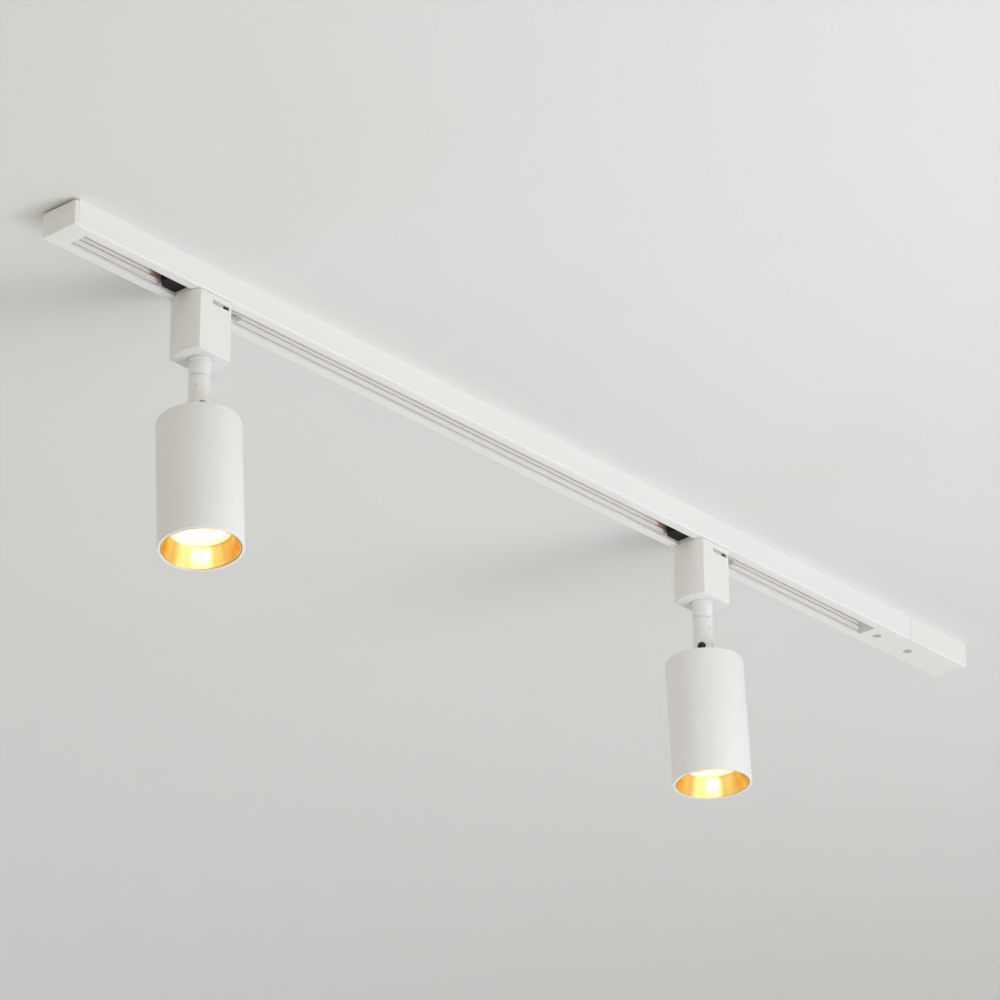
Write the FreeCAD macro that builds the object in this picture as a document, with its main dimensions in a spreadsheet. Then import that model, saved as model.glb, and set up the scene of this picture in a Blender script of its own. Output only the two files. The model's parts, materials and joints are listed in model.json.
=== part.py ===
import FreeCAD, Part
import math
import os
import Sketcher

# Track lighting fixture: a three-conductor surface rail with a dead end and a
# live end, and two spotlight heads that slide, swivel and tilt.
# Frame: millimetres, origin in the middle of the rail's ceiling face,
# +X along the rail to the live end, +Z up into the ceiling.

DIMENSIONS = {
    # Rail extrusion
    "rail_length": 1000, "rail_width": 35, "rail_height": 22, "rail_wall": 1.5,
    "lip_thick": 2, "slot_width": 17, "rail_round": 1.2,
    "screw_bore": 4.5, "screw_pitch": 400,
    # Insulators and conductors, heights above the rail's lower face
    "lock_gap": 1.7, "foot_inset": 5, "insulator_wall": 3.8, "insulator_web": 1.5,
    "groove_height": 1.3, "groove_depth": 2.2, "bar_depth": 1.2, "bar_height": 1.2,
    "far_low_level": 8.4, "far_high_level": 12.4, "near_level": 10.4, "inner_play": 0.05,
    # Dead end
    "cap_plate": 4, "cap_tongue": 15.5, "tongue_play": 0.1, "tongue_top": 3, "cap_round": 1,
    "cap_drop": 1.8, "cap_seam": 0.15, "end_seam": 0.4,
    # Live end
    "feed_length": 80, "feed_wall": 1.6, "block_tongue": 39.5, "block_tail": 12,
    "cover_thick": 1.6, "cover_play": 0.2, "inlet_bore": 18, "inlet_place": 66,
    "boss_radius": 4, "cover_screw_place": 18, "block_screw_place": 26,
    "screw_recess": 3.8, "recess_depth": 1.4, "pan_radius": 3.1, "pan_height": 1.2,
    "pan_shank": 1.6, "pan_length": 9, "cross_length": 3.4, "cross_width": 0.7, "cross_depth": 0.7,
    "blade_length": 30, "blade_height": 0.9, "blade_reach": 0.85, "blade_root": 3,
    "terminal_length": 26, "terminal_width": 27, "terminal_height": 12, "terminal_place": 26,
    "terminal_pitch": 8.5, "terminal_bore": 2, "terminal_head": 1.8, "terminal_depth": 5,
    "terminal_inset": 6,
    # Adapter shells
    "shell_length": 32.5, "shell_width": 32.2, "shell_bulge": 4.25, "shell_height": 50,
    "shell_gap": 0.4, "shell_wall": 1.8, "shell_round": 0.5, "seam_round": 0.25,
    "neck_width": 15.2, "neck_rise": 4.4, "neck_apex": 20.2, "neck_corner": 19.3, "neck_wall": 1.6,
    "window_start": -3.7, "window_length": 17.7, "window_height": 3.4, "window_drop": 4.8,
    "hole_radius": 10, "post_radius": 3, "post_x": 12, "post_drop": 42, "post_bore": 1.1,
    "shell_screw_head": 2.4, "shell_screw_sink": 2, "shell_screw_length": 24,
    # Contact carrier inside the slot
    "carrier_left": 40, "carrier_right": 25.5, "carrier_width": 15, "carrier_rise": 13,
    "carrier_drop": 1.6, "carrier_step": 20.9, "carrier_heel": 25.5, "heel_side": 0.7,
    "spigot_left": 14, "spigot_right": 6.3, "spigot_side": 5.8, "spigot_drop": 7.9,
    "flange_out": 2.2, "flange_thick": 1.5, "flange_side": 9,
    "finger_start": 31, "finger_end": 46, "finger_thick": 0.6, "finger_reach": 0.35,
    "finger_root": 2, "wing_start": 29, "wing_end": 38, "heel_wing_start": 21.5,
    "wing_thick": 0.6, "wing_reach": 1.8,
    # Lock
    "tab_length": 11.1, "tab_play": 0.35, "tab_sink": 0.4,
    "slider_left": 8, "slider_right": 8.8, "slider_thick": 1.5, "slider_gap": 0.4, "slider_margin": 2,
    "latch_side": 3.4, "latch_width": 4.6, "latch_thick": 1.4,
    "latch_nose": 4.5, "latch_reach": 40, "leg_x": 7.5, "leg_thick": 2, "arm_thick": 2,
    "latch_play": 0.5, "arm_drop": 4.5,
    # Swivel
    "collar_flange": 12, "collar_flange_thick": 3, "collar_barrel": 9.6, "barrel_drop": 3.1,
    "stem_radius": 8.3, "collar_drop": 14.6, "nipple_radius": 5, "nipple_bore": 3.4,
    "nipple_top": 9.5, "nipple_below": 14, "nut_flats": 14, "nut_height": 4,
    "swivel_gap": 0.3, "running_play": 0.08, "wire_bore": 2.5,
    "set_screw_level": 9.6, "set_screw_radius": 1.45, "set_screw_angle": -38,
    "set_groove_floor": 4.4, "set_groove_height": 3.8, "set_tip": 4.75, "set_sink": 0.15,
    "stop_rib_width": 1, "stop_rib_reach": 4.9,
    "hex_key": 1.3, "hex_key_depth": 0.8, "lead_radius": 0.8, "lead_circle": 1.1, "lead_gap": 1.5,
    # Tilt joint
    "pivot_drop": 114, "fork_slot": 4.6, "fork_slot_top": 4.7,
    "pivot_radius": 2, "pivot_head": 3.3, "pivot_head_height": 2.2, "pivot_sink": 2.5,
    "pivot_key": 2.5, "pivot_key_depth": 1.4, "pivot_nut_flats": 7, "pivot_nut_height": 2.6,
    "head_play": 0.25, "tongue_thick": 4, "tongue_radius": 4.4, "base_radius": 11,
    "base_thick": 2, "base_gap": 12.6, "base_screw_place": 7.5, "base_screw_head": 2.4,
    "base_screw_height": 1.2, "base_screw_shank": 1.4, "base_screw_length": 5,
    "lead_hole": 1.8, "lead_hole_place": 8.2,
    # Lamp housing and what it holds
    "can_radius": 32.5, "can_length": 108.5, "can_wall": 2.3, "can_top": 2, "can_round": 1,
    "mouth_round": 0.4,
    "holder_radius": 13.5, "holder_height": 20, "pin_pitch": 5,
    "pin_bore": 2.7, "pin_bore_depth": 8, "strap_thick": 1.2, "strap_width": 12,
    "strap_drop": 30, "holder_shoulder": 12, "holder_crown": 10.5,
    "rim_depth": 16, "bulb_rim": 24.9, "bulb_rim_height": 3, "bulb_skirt": 24,
    "bulb_length": 50, "bulb_throat": 11, "bulb_neck": 9.6, "bulb_bowl": 32,
    "bulb_wall": 1.2, "bulb_steps": 6, "pin_radius": 2.3, "pin_shank": 1.5, "pin_length": 7,
    "pin_head": 2, "lens_thick": 1.6, "lens_inset": 0.4, "lens_play": 0.1,
    "baffle_mouth": 29.9, "baffle_wall": 1, "baffle_inset": 0.3, "baffle_throat": 24.9,
    "baffle_ledge": 24.4, "baffle_flange": 30.1,
    # Heads along the rail and how they are aimed
    "head1_x": -355, "head2_x": 235.5, "head1_swivel": -113, "head2_swivel": -60,
    "head1_tilt": 6, "head2_tilt": 2.5,
    "full_turn": 360,
}

doc = FreeCAD.newDocument("TrackLight")
sheet = doc.addObject("Spreadsheet::Sheet", "Dims")
for row, (word, number) in enumerate(DIMENSIONS.items(), start=1):
    sheet.set(f"A{row}", word)
    sheet.set(f"B{row}", str(number))
    sheet.setAlias(f"B{row}", word)
doc.recompute()


class Size:
    """A length worked out from the sheet: its number, and the expression that keeps it."""

    def __init__(self, number, text):
        self.number = float(number)
        self.text = text

    def _with(self, other, sign, number):
        return Size(number, f"({self.text} {sign} {as_size(other).text})")

    def __add__(self, other):
        return self._with(other, "+", self.number + as_size(other).number)

    def __sub__(self, other):
        return self._with(other, "-", self.number - as_size(other).number)

    def __mul__(self, other):
        return self._with(other, "*", self.number * as_size(other).number)

    def __truediv__(self, other):
        return self._with(other, "/", self.number / as_size(other).number)

    def __neg__(self):
        return Size(-self.number, f"(0 - {self.text})")


def as_size(value):
    return value if isinstance(value, Size) else Size(value, str(value))


def cell(word):
    return Size(sheet.get(word), f"Dims.{word}")


ZERO = as_size(0)
parts = []


def keep(piece, label, placement=FreeCAD.Placement()):
    """Give a finished piece its name and its place, and list it for export."""
    piece.Label = label
    piece.Placement = placement
    parts.append(piece)
    return piece


# --- Sketch helpers -------------------------------------------------------

def new_body(name):
    return doc.addObject("PartDesign::Body", name)


def new_sketch(body, role, name, lift=None):
    """A sketch flat on one of the body's own origin planes, lifted along its normal."""
    plane = next(item for item in body.Origin.OriginFeatures if item.Role == role)
    sketch = body.newObject("Sketcher::SketchObject", name)
    sketch.AttachmentSupport = (plane, [""])
    sketch.MapMode = "FlatFace"
    if lift is not None:
        sketch.setExpression(".AttachmentOffset.Base.z", lift.text)
        sketch.AttachmentOffset = FreeCAD.Placement(
            FreeCAD.Vector(0, 0, lift.number), FreeCAD.Rotation())
    return sketch


def tie(sketch, kind, geometry, point, size):
    """Hold one coordinate of a sketch point at a size from the sheet."""
    index = sketch.addConstraint(
        Sketcher.Constraint(kind, -1, 1, geometry, point, size.number))
    sketch.setExpression(f"Constraints[{index}]", size.text)


def outline(sketch, corners, arcs=()):
    """Close the corners with straight edges; arcs maps an edge to the centre of its arc.

    The arc turns about a centre on the sketch's horizontal axis.
    """
    arcs = dict(arcs)
    corners = [(as_size(x), as_size(y)) for x, y in corners]
    vectors = [FreeCAD.Vector(x.number, y.number, 0) for x, y in corners]
    starts, ends = [], []
    for index, start in enumerate(vectors):
        end = vectors[(index + 1) % len(vectors)]
        if index in arcs:
            centre = FreeCAD.Vector(arcs[index].number, 0, 0)
            first, last = start - centre, end - centre
            turns_left = first.cross(last).z > 0
            if not turns_left:
                first, last = last, first
            angles = [math.atan2(arm.y, arm.x) for arm in (first, last)]
            circle = Part.Circle(centre, FreeCAD.Vector(0, 0, 1), first.Length)
            edge = sketch.addGeometry(Part.ArcOfCircle(circle, *angles), False)
            starts.append((edge, 1 if turns_left else 2))
            ends.append((edge, 2 if turns_left else 1))
        else:
            edge = sketch.addGeometry(Part.LineSegment(start, end), False)
            starts.append((edge, 1))
            ends.append((edge, 2))
    for index in range(len(corners)):
        following = (index + 1) % len(corners)
        sketch.addConstraint(
            Sketcher.Constraint("Coincident", *ends[index], *starts[following]))
        tie(sketch, "DistanceX", *starts[index], corners[index][0])
        tie(sketch, "DistanceY", *starts[index], corners[index][1])
    for index in arcs:
        sketch.addConstraint(Sketcher.Constraint("PointOnObject", starts[index][0], 3, -1))


def ring(sketch, x, y, radius):
    centre = FreeCAD.Vector(as_size(x).number, as_size(y).number, 0)
    edge = sketch.addGeometry(
        Part.Circle(centre, FreeCAD.Vector(0, 0, 1), radius.number), False)
    tie(sketch, "DistanceX", edge, 3, as_size(x))
    tie(sketch, "DistanceY", edge, 3, as_size(y))
    index = sketch.addConstraint(Sketcher.Constraint("Radius", edge, radius.number))
    sketch.setExpression(f"Constraints[{index}]", radius.text)


def pad(body, sketch, length, symmetric=False, reverse=False):
    feature = body.newObject("PartDesign::Pad", "Pad")
    feature.Profile = sketch
    feature.Length = length.number
    feature.setExpression("Length", length.text)
    feature.Midplane = symmetric
    feature.Reversed = reverse
    return feature


def pocket(body, sketch, length, reverse=False, symmetric=False):
    """Cut a pocket, and refuse one that takes nothing away."""
    doc.recompute()
    before = body.Shape.Volume
    feature = body.newObject("PartDesign::Pocket", "Pocket")
    feature.Profile = sketch
    feature.Length = length.number
    feature.setExpression("Length", length.text)
    feature.Reversed = reverse
    feature.Midplane = symmetric
    doc.recompute()
    if body.Shape.Volume >= before:
        raise ValueError(f"{body.Name}: the pocket cuts nothing")
    return feature


def turned(name, corners):
    """A body turned about the vertical axis from a half section of radii and heights."""
    body = new_body(name)
    sketch = new_sketch(body, "XZ_Plane", f"{name}_section")
    outline(sketch, corners)
    revolution = body.newObject("PartDesign::Revolution", "Revolution")
    revolution.Profile = sketch
    revolution.ReferenceAxis = (sketch, ["V_Axis"])
    revolution.Angle = cell("full_turn").number
    doc.recompute()
    return body


def round_edges(body, radius, wanted):
    """Fillet the edges of the body's last feature for which wanted(edge) is true."""
    doc.recompute()
    tip = body.Tip
    names = [f"Edge{place}" for place, edge in enumerate(tip.Shape.Edges, start=1) if wanted(edge)]
    fillet = body.newObject("PartDesign::Fillet", "Fillet")
    fillet.Base = (tip, names)
    fillet.Radius = radius.number
    fillet.setExpression("Radius", radius.text)
    doc.recompute()
    return fillet


def at_height(height):
    """True for an edge that lies wholly at one height."""
    return lambda edge: (abs(edge.BoundBox.ZMin - height.number) < TOUCH
                         and abs(edge.BoundBox.ZMax - height.number) < TOUCH)


# --- Primitive helpers ----------------------------------------------------

TOUCH = 1e-4
UP = FreeCAD.Vector(0, 0, 1)
ALONG = FreeCAD.Vector(1, 0, 0)
ACROSS = FreeCAD.Vector(0, 1, 0)


def set_size(feature, prop, size):
    setattr(feature, prop, size.number)
    feature.setExpression(prop, size.text)


def place(feature, x, y, z, direction=UP):
    """Stand a primitive at a point of the sheet, with its own +Z turned to a direction."""
    spot = [as_size(value) for value in (x, y, z)]
    feature.Placement = FreeCAD.Placement(
        FreeCAD.Vector(*(value.number for value in spot)), FreeCAD.Rotation(UP, direction))
    for axis, value in zip("xyz", spot):
        feature.setExpression(f".Placement.Base.{axis}", value.text)


def block(name, x, y, z):
    """A box between two values on each axis."""
    (x0, x1), (y0, y1), (z0, z1) = [[as_size(v) for v in pair] for pair in (x, y, z)]
    box = doc.addObject("Part::Box", name)
    set_size(box, "Length", x1 - x0)
    set_size(box, "Width", y1 - y0)
    set_size(box, "Height", z1 - z0)
    place(box, x0, y0, z0)
    return box


def rod(name, radius, length, x=0, y=0, z=0, direction=UP):
    cylinder = doc.addObject("Part::Cylinder", name)
    set_size(cylinder, "Radius", radius)
    set_size(cylinder, "Height", length)
    place(cylinder, x, y, z, direction)
    return cylinder


def hexagon(name, flats, length, x=0, y=0, z=0, direction=UP):
    """A six-sided prism measured across its flats."""
    prism = doc.addObject("Part::Prism", name)
    prism.Polygon = 6
    set_size(prism, "Circumradius", flats / math.sqrt(3))
    set_size(prism, "Height", length)
    place(prism, x, y, z, direction)
    return prism


def fuse(name, *shapes):
    union = doc.addObject("Part::MultiFuse", name)
    union.Shapes = list(shapes)
    union.Refine = True
    return union


def cut(name, base, *tools):
    difference = doc.addObject("Part::Cut", name)
    difference.Base = base
    difference.Tool = tools[0] if len(tools) == 1 else fuse(f"{name}_tools", *tools)
    difference.Refine = True
    return difference


def common(name, first, second):
    overlap = doc.addObject("Part::Common", name)
    overlap.Base = first
    overlap.Tool = second
    return overlap


def group(name, *shapes):
    """Separate solids that share one name and one placement."""
    together = doc.addObject("Part::Compound", name)
    together.Links = list(shapes)
    return together


def spun(name, shape, degrees):
    """A shape turned about the vertical axis through the origin."""
    holder = group(name, shape)
    holder.Placement = FreeCAD.Placement(FreeCAD.Vector(), FreeCAD.Rotation(UP, degrees))
    return holder


# --- Lines that several pieces share --------------------------------------

HALF_RAIL = cell("rail_length") / 2
HALF_WIDTH = cell("rail_width") / 2
HALF_SLOT = cell("slot_width") / 2
RAIL_LOW = -cell("rail_height")
RAIL_INSIDE = HALF_WIDTH - cell("rail_wall")
LIP_TOP = RAIL_LOW + cell("lip_thick")
INSULATOR_LOW = LIP_TOP + cell("lock_gap")
INSULATOR_TOP = -cell("rail_wall") - cell("inner_play")
INSULATOR_OUT = RAIL_INSIDE - cell("inner_play")
GROOVE_FLOOR = HALF_SLOT + cell("groove_depth")
SLOT_TONGUE = HALF_SLOT - cell("tongue_play")
FEED_END = HALF_RAIL + cell("feed_length")

SHELL_TOP = RAIL_LOW - cell("shell_gap")
SHELL_LOW = SHELL_TOP - cell("shell_height")
SHELL_HALF = cell("shell_length") / 2
SHELL_SIDE = cell("shell_width") / 2
SHELL_APEX = SHELL_HALF + cell("shell_bulge")
NECK_TOP = SHELL_TOP + cell("neck_rise")
FLOOR_TOP = SHELL_LOW + cell("shell_wall")
ROOF_LOW = SHELL_TOP - cell("shell_wall")
STEM_TOP = SHELL_LOW - cell("collar_drop") - cell("swivel_gap")
PIVOT = -cell("pivot_drop")
CAN_TOP = -cell("base_gap")
CAN_LOW = CAN_TOP - cell("can_length")
RIM = CAN_LOW + cell("rim_depth")


def bulge_centre(half_side, corner, apex):
    """Where the centre of the arc lies that runs from a corner out to its apex."""
    sagitta = apex - corner
    radius = (sagitta * sagitta + half_side * half_side) / (sagitta * 2)
    return apex - radius


# --- Rail -----------------------------------------------------------------

def build_rail():
    body = new_body("rail_body")
    section = new_sketch(body, "YZ_Plane", "rail_section")
    outline(section, [
        (-HALF_WIDTH, ZERO), (-HALF_WIDTH, RAIL_LOW), (-HALF_SLOT, RAIL_LOW), (-HALF_SLOT, LIP_TOP),
        (-RAIL_INSIDE, LIP_TOP), (-RAIL_INSIDE, -cell("rail_wall")),
        (RAIL_INSIDE, -cell("rail_wall")), (RAIL_INSIDE, LIP_TOP),
        (HALF_SLOT, LIP_TOP), (HALF_SLOT, RAIL_LOW), (HALF_WIDTH, RAIL_LOW), (HALF_WIDTH, ZERO)])
    pad(body, section, cell("rail_length"), symmetric=True)
    round_edges(body, cell("rail_round"), lambda edge: (
        edge.Length > cell("rail_length").number - TOUCH
        and abs(abs(edge.BoundBox.Center.y) - HALF_WIDTH.number) < TOUCH
        and edge.BoundBox.Center.z < LIP_TOP.number))
    holes = new_sketch(body, "XY_Plane", "ceiling_screw_holes")
    for step in (-1, 0, 1):
        ring(holes, cell("screw_pitch") * step, ZERO, cell("screw_bore") / 2)
    pocket(body, holes, cell("rail_wall") * 2)
    keep(body, "rail")


def build_insulator(label, side, levels):
    """A white insulating strip along one side wall, with a groove for each conductor."""
    inner_wall = HALF_SLOT + cell("insulator_wall")
    corners = [
        (HALF_SLOT, INSULATOR_LOW), (HALF_SLOT + cell("foot_inset"), INSULATOR_LOW),
        (HALF_SLOT + cell("foot_inset"), LIP_TOP + cell("inner_play")),
        (INSULATOR_OUT, LIP_TOP + cell("inner_play")),
        (INSULATOR_OUT, INSULATOR_LOW + cell("insulator_web")),
        (inner_wall, INSULATOR_LOW + cell("insulator_web")),
        (inner_wall, INSULATOR_TOP - cell("insulator_web")),
        (INSULATOR_OUT, INSULATOR_TOP - cell("insulator_web")),
        (INSULATOR_OUT, INSULATOR_TOP), (HALF_SLOT, INSULATOR_TOP)]
    for level in sorted(levels, key=lambda word: -cell(word).number):
        top = RAIL_LOW + cell(level) + cell("groove_height") / 2
        low = top - cell("groove_height")
        corners += [(HALF_SLOT, top), (GROOVE_FLOOR, top), (GROOVE_FLOOR, low), (HALF_SLOT, low)]
    body = new_body(f"{label}_body")
    section = new_sketch(body, "YZ_Plane", f"{label}_section")
    outline(section, [(y * side, z) for y, z in corners])
    pad(body, section, cell("rail_length"), symmetric=True)
    keep(body, label)


def conductor(name, side, level):
    middle = RAIL_LOW + cell(level)
    inner = GROOVE_FLOOR - cell("bar_depth")
    across = (inner, GROOVE_FLOOR) if side > 0 else (-GROOVE_FLOOR, -inner)
    half_height = cell("bar_height") / 2
    return block(name, (-HALF_RAIL, HALF_RAIL), across, (middle - half_height, middle + half_height))


def build_conductors():
    bars = [conductor("bar_far_low", 1, "far_low_level"),
            conductor("bar_far_high", 1, "far_high_level"),
            conductor("bar_near", -1, "near_level")]
    keep(group("conductor_bars", *bars), "conductors")


# --- Rail ends ------------------------------------------------------------

def end_section(name, x0, x1, top=ZERO):
    """A block with the rail's own outer section and rounded lower edges."""
    body = new_body(name)
    section = new_sketch(body, "YZ_Plane", f"{name}_section", lift=x0)
    outline(section, [(-HALF_WIDTH, top), (-HALF_WIDTH, RAIL_LOW),
                      (HALF_WIDTH, RAIL_LOW), (HALF_WIDTH, top)])
    pad(body, section, x1 - x0)
    round_edges(body, cell("rail_round"), lambda edge: (
        at_height(RAIL_LOW)(edge) and edge.BoundBox.YLength < TOUCH))
    return body


def build_dead_end():
    outer = -HALF_RAIL - cell("cap_plate")
    inner = -HALF_RAIL - cell("cap_seam")
    body = end_section("dead_end_body", outer, inner, top=-cell("cap_drop"))
    tongue = new_sketch(body, "YZ_Plane", "dead_end_tongue", lift=inner)
    outline(tongue, [(-SLOT_TONGUE, RAIL_LOW), (SLOT_TONGUE, RAIL_LOW),
                     (SLOT_TONGUE, -cell("tongue_top")), (-SLOT_TONGUE, -cell("tongue_top"))])
    pad(body, tongue, cell("cap_tongue") + cell("cap_seam"))
    round_edges(body, cell("cap_round"), lambda edge: (
        abs(edge.BoundBox.XMin - outer.number) < TOUCH
        and abs(edge.BoundBox.XMax - outer.number) < TOUCH
        and edge.BoundBox.Center.z < -cell("cap_drop").number - TOUCH))
    keep(body, "dead_end_cap")


def build_feed_housing():
    """The live end's box: open to the rail and downwards, with the supply inlet above."""
    body = end_section("feed_body", HALF_RAIL + cell("end_seam"), FEED_END)
    wall = cell("feed_wall")
    inside = HALF_WIDTH - wall
    cavity = new_sketch(body, "XY_Plane", "feed_cavity", lift=RAIL_LOW)
    outline(cavity, [(HALF_RAIL, -inside), (FEED_END - wall, -inside),
                     (FEED_END - wall, inside), (HALF_RAIL, inside)])
    pocket(body, cavity, cell("rail_height") - wall, reverse=True)
    boss = new_sketch(body, "XY_Plane", "feed_boss", lift=-wall)
    ring(boss, HALF_RAIL + cell("cover_screw_place"), ZERO, cell("boss_radius"))
    pad(body, boss, cell("rail_height") - wall - cell("cover_thick"), reverse=True)
    bore = new_sketch(body, "XY_Plane", "feed_boss_bore", lift=RAIL_LOW)
    ring(bore, HALF_RAIL + cell("cover_screw_place"), ZERO, cell("pan_shank"))
    pocket(body, bore, cell("pan_length") + cell("cover_thick"), reverse=True)
    inlet = new_sketch(body, "XY_Plane", "supply_inlet")
    ring(inlet, HALF_RAIL + cell("inlet_place"), ZERO, cell("inlet_bore") / 2)
    pocket(body, inlet, wall * 2)
    keep(body, "live_end_housing")


def build_feed_cover():
    side = HALF_WIDTH - cell("feed_wall") - cell("cover_play")
    start = HALF_RAIL + cell("cover_play")
    end = FEED_END - cell("feed_wall") - cell("cover_play")
    body = new_body("cover_body")
    plate = new_sketch(body, "XY_Plane", "cover_plate", lift=RAIL_LOW)
    outline(plate, [(start, -side), (end, -side), (end, side), (start, side)])
    pad(body, plate, cell("cover_thick"))
    recess = new_sketch(body, "XY_Plane", "cover_recess", lift=RAIL_LOW)
    ring(recess, HALF_RAIL + cell("cover_screw_place"), ZERO, cell("screw_recess"))
    pocket(body, recess, cell("recess_depth") / 2, reverse=True)
    bore = new_sketch(body, "XY_Plane", "cover_bore", lift=RAIL_LOW)
    ring(bore, HALF_RAIL + cell("cover_screw_place"), ZERO, cell("pan_shank") + cell("running_play"))
    pocket(body, bore, cell("cover_thick"), reverse=True)
    keep(body, "live_end_cover")


def build_contact_block():
    """The live end's insert: it fills the slot's end and carries the supply blades."""
    start = HALF_RAIL - cell("block_tongue")
    end = HALF_RAIL + cell("block_tail")
    body = new_body("contact_block_body")
    section = new_sketch(body, "YZ_Plane", "block_section", lift=start)
    outline(section, [(-SLOT_TONGUE, RAIL_LOW), (SLOT_TONGUE, RAIL_LOW),
                      (SLOT_TONGUE, -cell("tongue_top")), (-SLOT_TONGUE, -cell("tongue_top"))])
    pad(body, section, cell("block_tongue"))
    tail = new_sketch(body, "YZ_Plane", "tail_section", lift=HALF_RAIL)
    tail_low = RAIL_LOW + cell("cover_thick") + cell("cover_play")
    outline(tail, [(-SLOT_TONGUE, tail_low), (SLOT_TONGUE, tail_low),
                   (SLOT_TONGUE, -cell("tongue_top")), (-SLOT_TONGUE, -cell("tongue_top"))])
    pad(body, tail, end - HALF_RAIL)
    recess = new_sketch(body, "XY_Plane", "block_recess", lift=RAIL_LOW)
    ring(recess, HALF_RAIL - cell("block_screw_place"), ZERO, cell("screw_recess"))
    pocket(body, recess, cell("recess_depth"), reverse=True)
    bore = new_sketch(body, "XY_Plane", "block_bore", lift=RAIL_LOW)
    ring(bore, HALF_RAIL - cell("block_screw_place"), ZERO, cell("pan_shank"))
    pocket(body, bore, cell("pan_length") + cell("recess_depth"), reverse=True)
    for side, levels in ((1, ("far_low_level", "far_high_level")), (-1, ("near_level",))):
        for level in levels:
            slot = new_sketch(body, "YZ_Plane", f"slit_{level}", lift=blade_start())
            half = cell("blade_height") / 2
            low = RAIL_LOW + cell(level) - half
            edge = SLOT_TONGUE - cell("blade_root")
            outline(slot, [(edge * side, low), (SLOT_TONGUE * side, low),
                           (SLOT_TONGUE * side, low + cell("blade_height")),
                           (edge * side, low + cell("blade_height"))])
            pocket(body, slot, cell("blade_length") + cell("block_tail"), reverse=True)
    keep(body, "live_end_contact_block")


def blade_start():
    return HALF_RAIL - cell("blade_length")


def build_supply_blades():
    """Copper blades that reach from the contact block into the conductor grooves."""
    blades = []
    for side, level in ((1, "far_low_level"), (1, "far_high_level"), (-1, "near_level")):
        low = RAIL_LOW + cell(level) - cell("blade_height") / 2
        root = SLOT_TONGUE - cell("blade_root")
        tip = HALF_SLOT + cell("blade_reach")
        tail_side = (root, SLOT_TONGUE) if side > 0 else (-SLOT_TONGUE, -root)
        across = (root, tip) if side > 0 else (-tip, -root)
        height = (low, low + cell("blade_height"))
        front = block(f"blade_{level}", (blade_start(), HALF_RAIL), across, height)
        tail = block(f"blade_tail_{level}", (HALF_RAIL, HALF_RAIL + cell("block_tail")),
                     tail_side, height)
        blades.append(fuse(f"supply_{level}", front, tail))
    keep(group("supply_blades", *blades), "live_end_contacts")


def pan_screw(name, x, seat):
    """A cross-head screw that points up, with its head under the seat height."""
    head = rod(f"{name}_head", cell("pan_radius"), cell("pan_height"), x, ZERO,
               seat - cell("pan_height"))
    shank = rod(f"{name}_shank", cell("pan_shank"), cell("pan_length"), x, ZERO, seat)
    half = cell("cross_length") / 2
    slim = cell("cross_width") / 2
    height = (seat - cell("pan_height"), seat - cell("pan_height") + cell("cross_depth"))
    bars = [block(f"{name}_bar_a", (x - half, x + half), (-slim, slim), height),
            block(f"{name}_bar_b", (x - slim, x + slim), (-half, half), height)]
    return cut(f"{name}_screw", fuse(f"{name}_blank", head, shank), *bars)


def build_live_end_screws():
    cover_seat = RAIL_LOW + cell("recess_depth") / 2
    block_seat = RAIL_LOW + cell("recess_depth")
    screws = [pan_screw("cover", HALF_RAIL + cell("cover_screw_place"), cover_seat),
              pan_screw("block", HALF_RAIL - cell("block_screw_place"), block_seat)]
    keep(group("live_end_pan_screws", *screws), "live_end_screws")


def build_terminals():
    """A three-pole terminal block screwed flat to the roof of the live end."""
    start = HALF_RAIL + cell("terminal_place")
    half = cell("terminal_width") / 2
    top = -cell("feed_wall")
    low = top - cell("terminal_height")
    base = block("terminal_blank", (start, start + cell("terminal_length")), (-half, half), (low, top))
    wells, screws = [], []
    for pole in (-1, 0, 1):
        for end in (cell("terminal_inset"), cell("terminal_length") - cell("terminal_inset")):
            x = start + end
            y = cell("terminal_pitch") * pole
            tag = f"{pole + 1}_{'a' if end.number < cell('terminal_length').number / 2 else 'b'}"
            wells.append(rod(f"well_{tag}", cell("terminal_bore"), cell("terminal_depth"), x, y, low))
            head = rod(f"terminal_head_{tag}", cell("terminal_head"), cell("terminal_depth") / 2,
                       x, y, low + cell("terminal_depth") / 2)
            slim = cell("cross_width") / 2
            notch = block(f"terminal_notch_{tag}", (x - cell("terminal_head"), x + cell("terminal_head")),
                          (y - slim, y + slim),
                          (low + cell("terminal_depth") / 2,
                           low + cell("terminal_depth") / 2 + cell("cross_depth")))
            screws.append(cut(f"terminal_screw_{tag}", head, notch))
    keep(cut("terminal_body", base, *wells), "terminal_block")
    keep(group("terminal_clamps", *screws), "terminal_screws")


# --- Adapter --------------------------------------------------------------

def shell_sketch(body, name, side, corner, apex, half_side, lift):
    """One half of the adapter's plan: flat outside, bulged ends, open at the parting line."""
    sketch = new_sketch(body, "XY_Plane", name, lift=lift)
    centre = bulge_centre(half_side, corner, apex)
    outline(sketch, [(-apex, ZERO), (-corner, half_side * side), (corner, half_side * side),
                     (apex, ZERO)], arcs={0: -centre, 2: centre})
    return sketch


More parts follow.
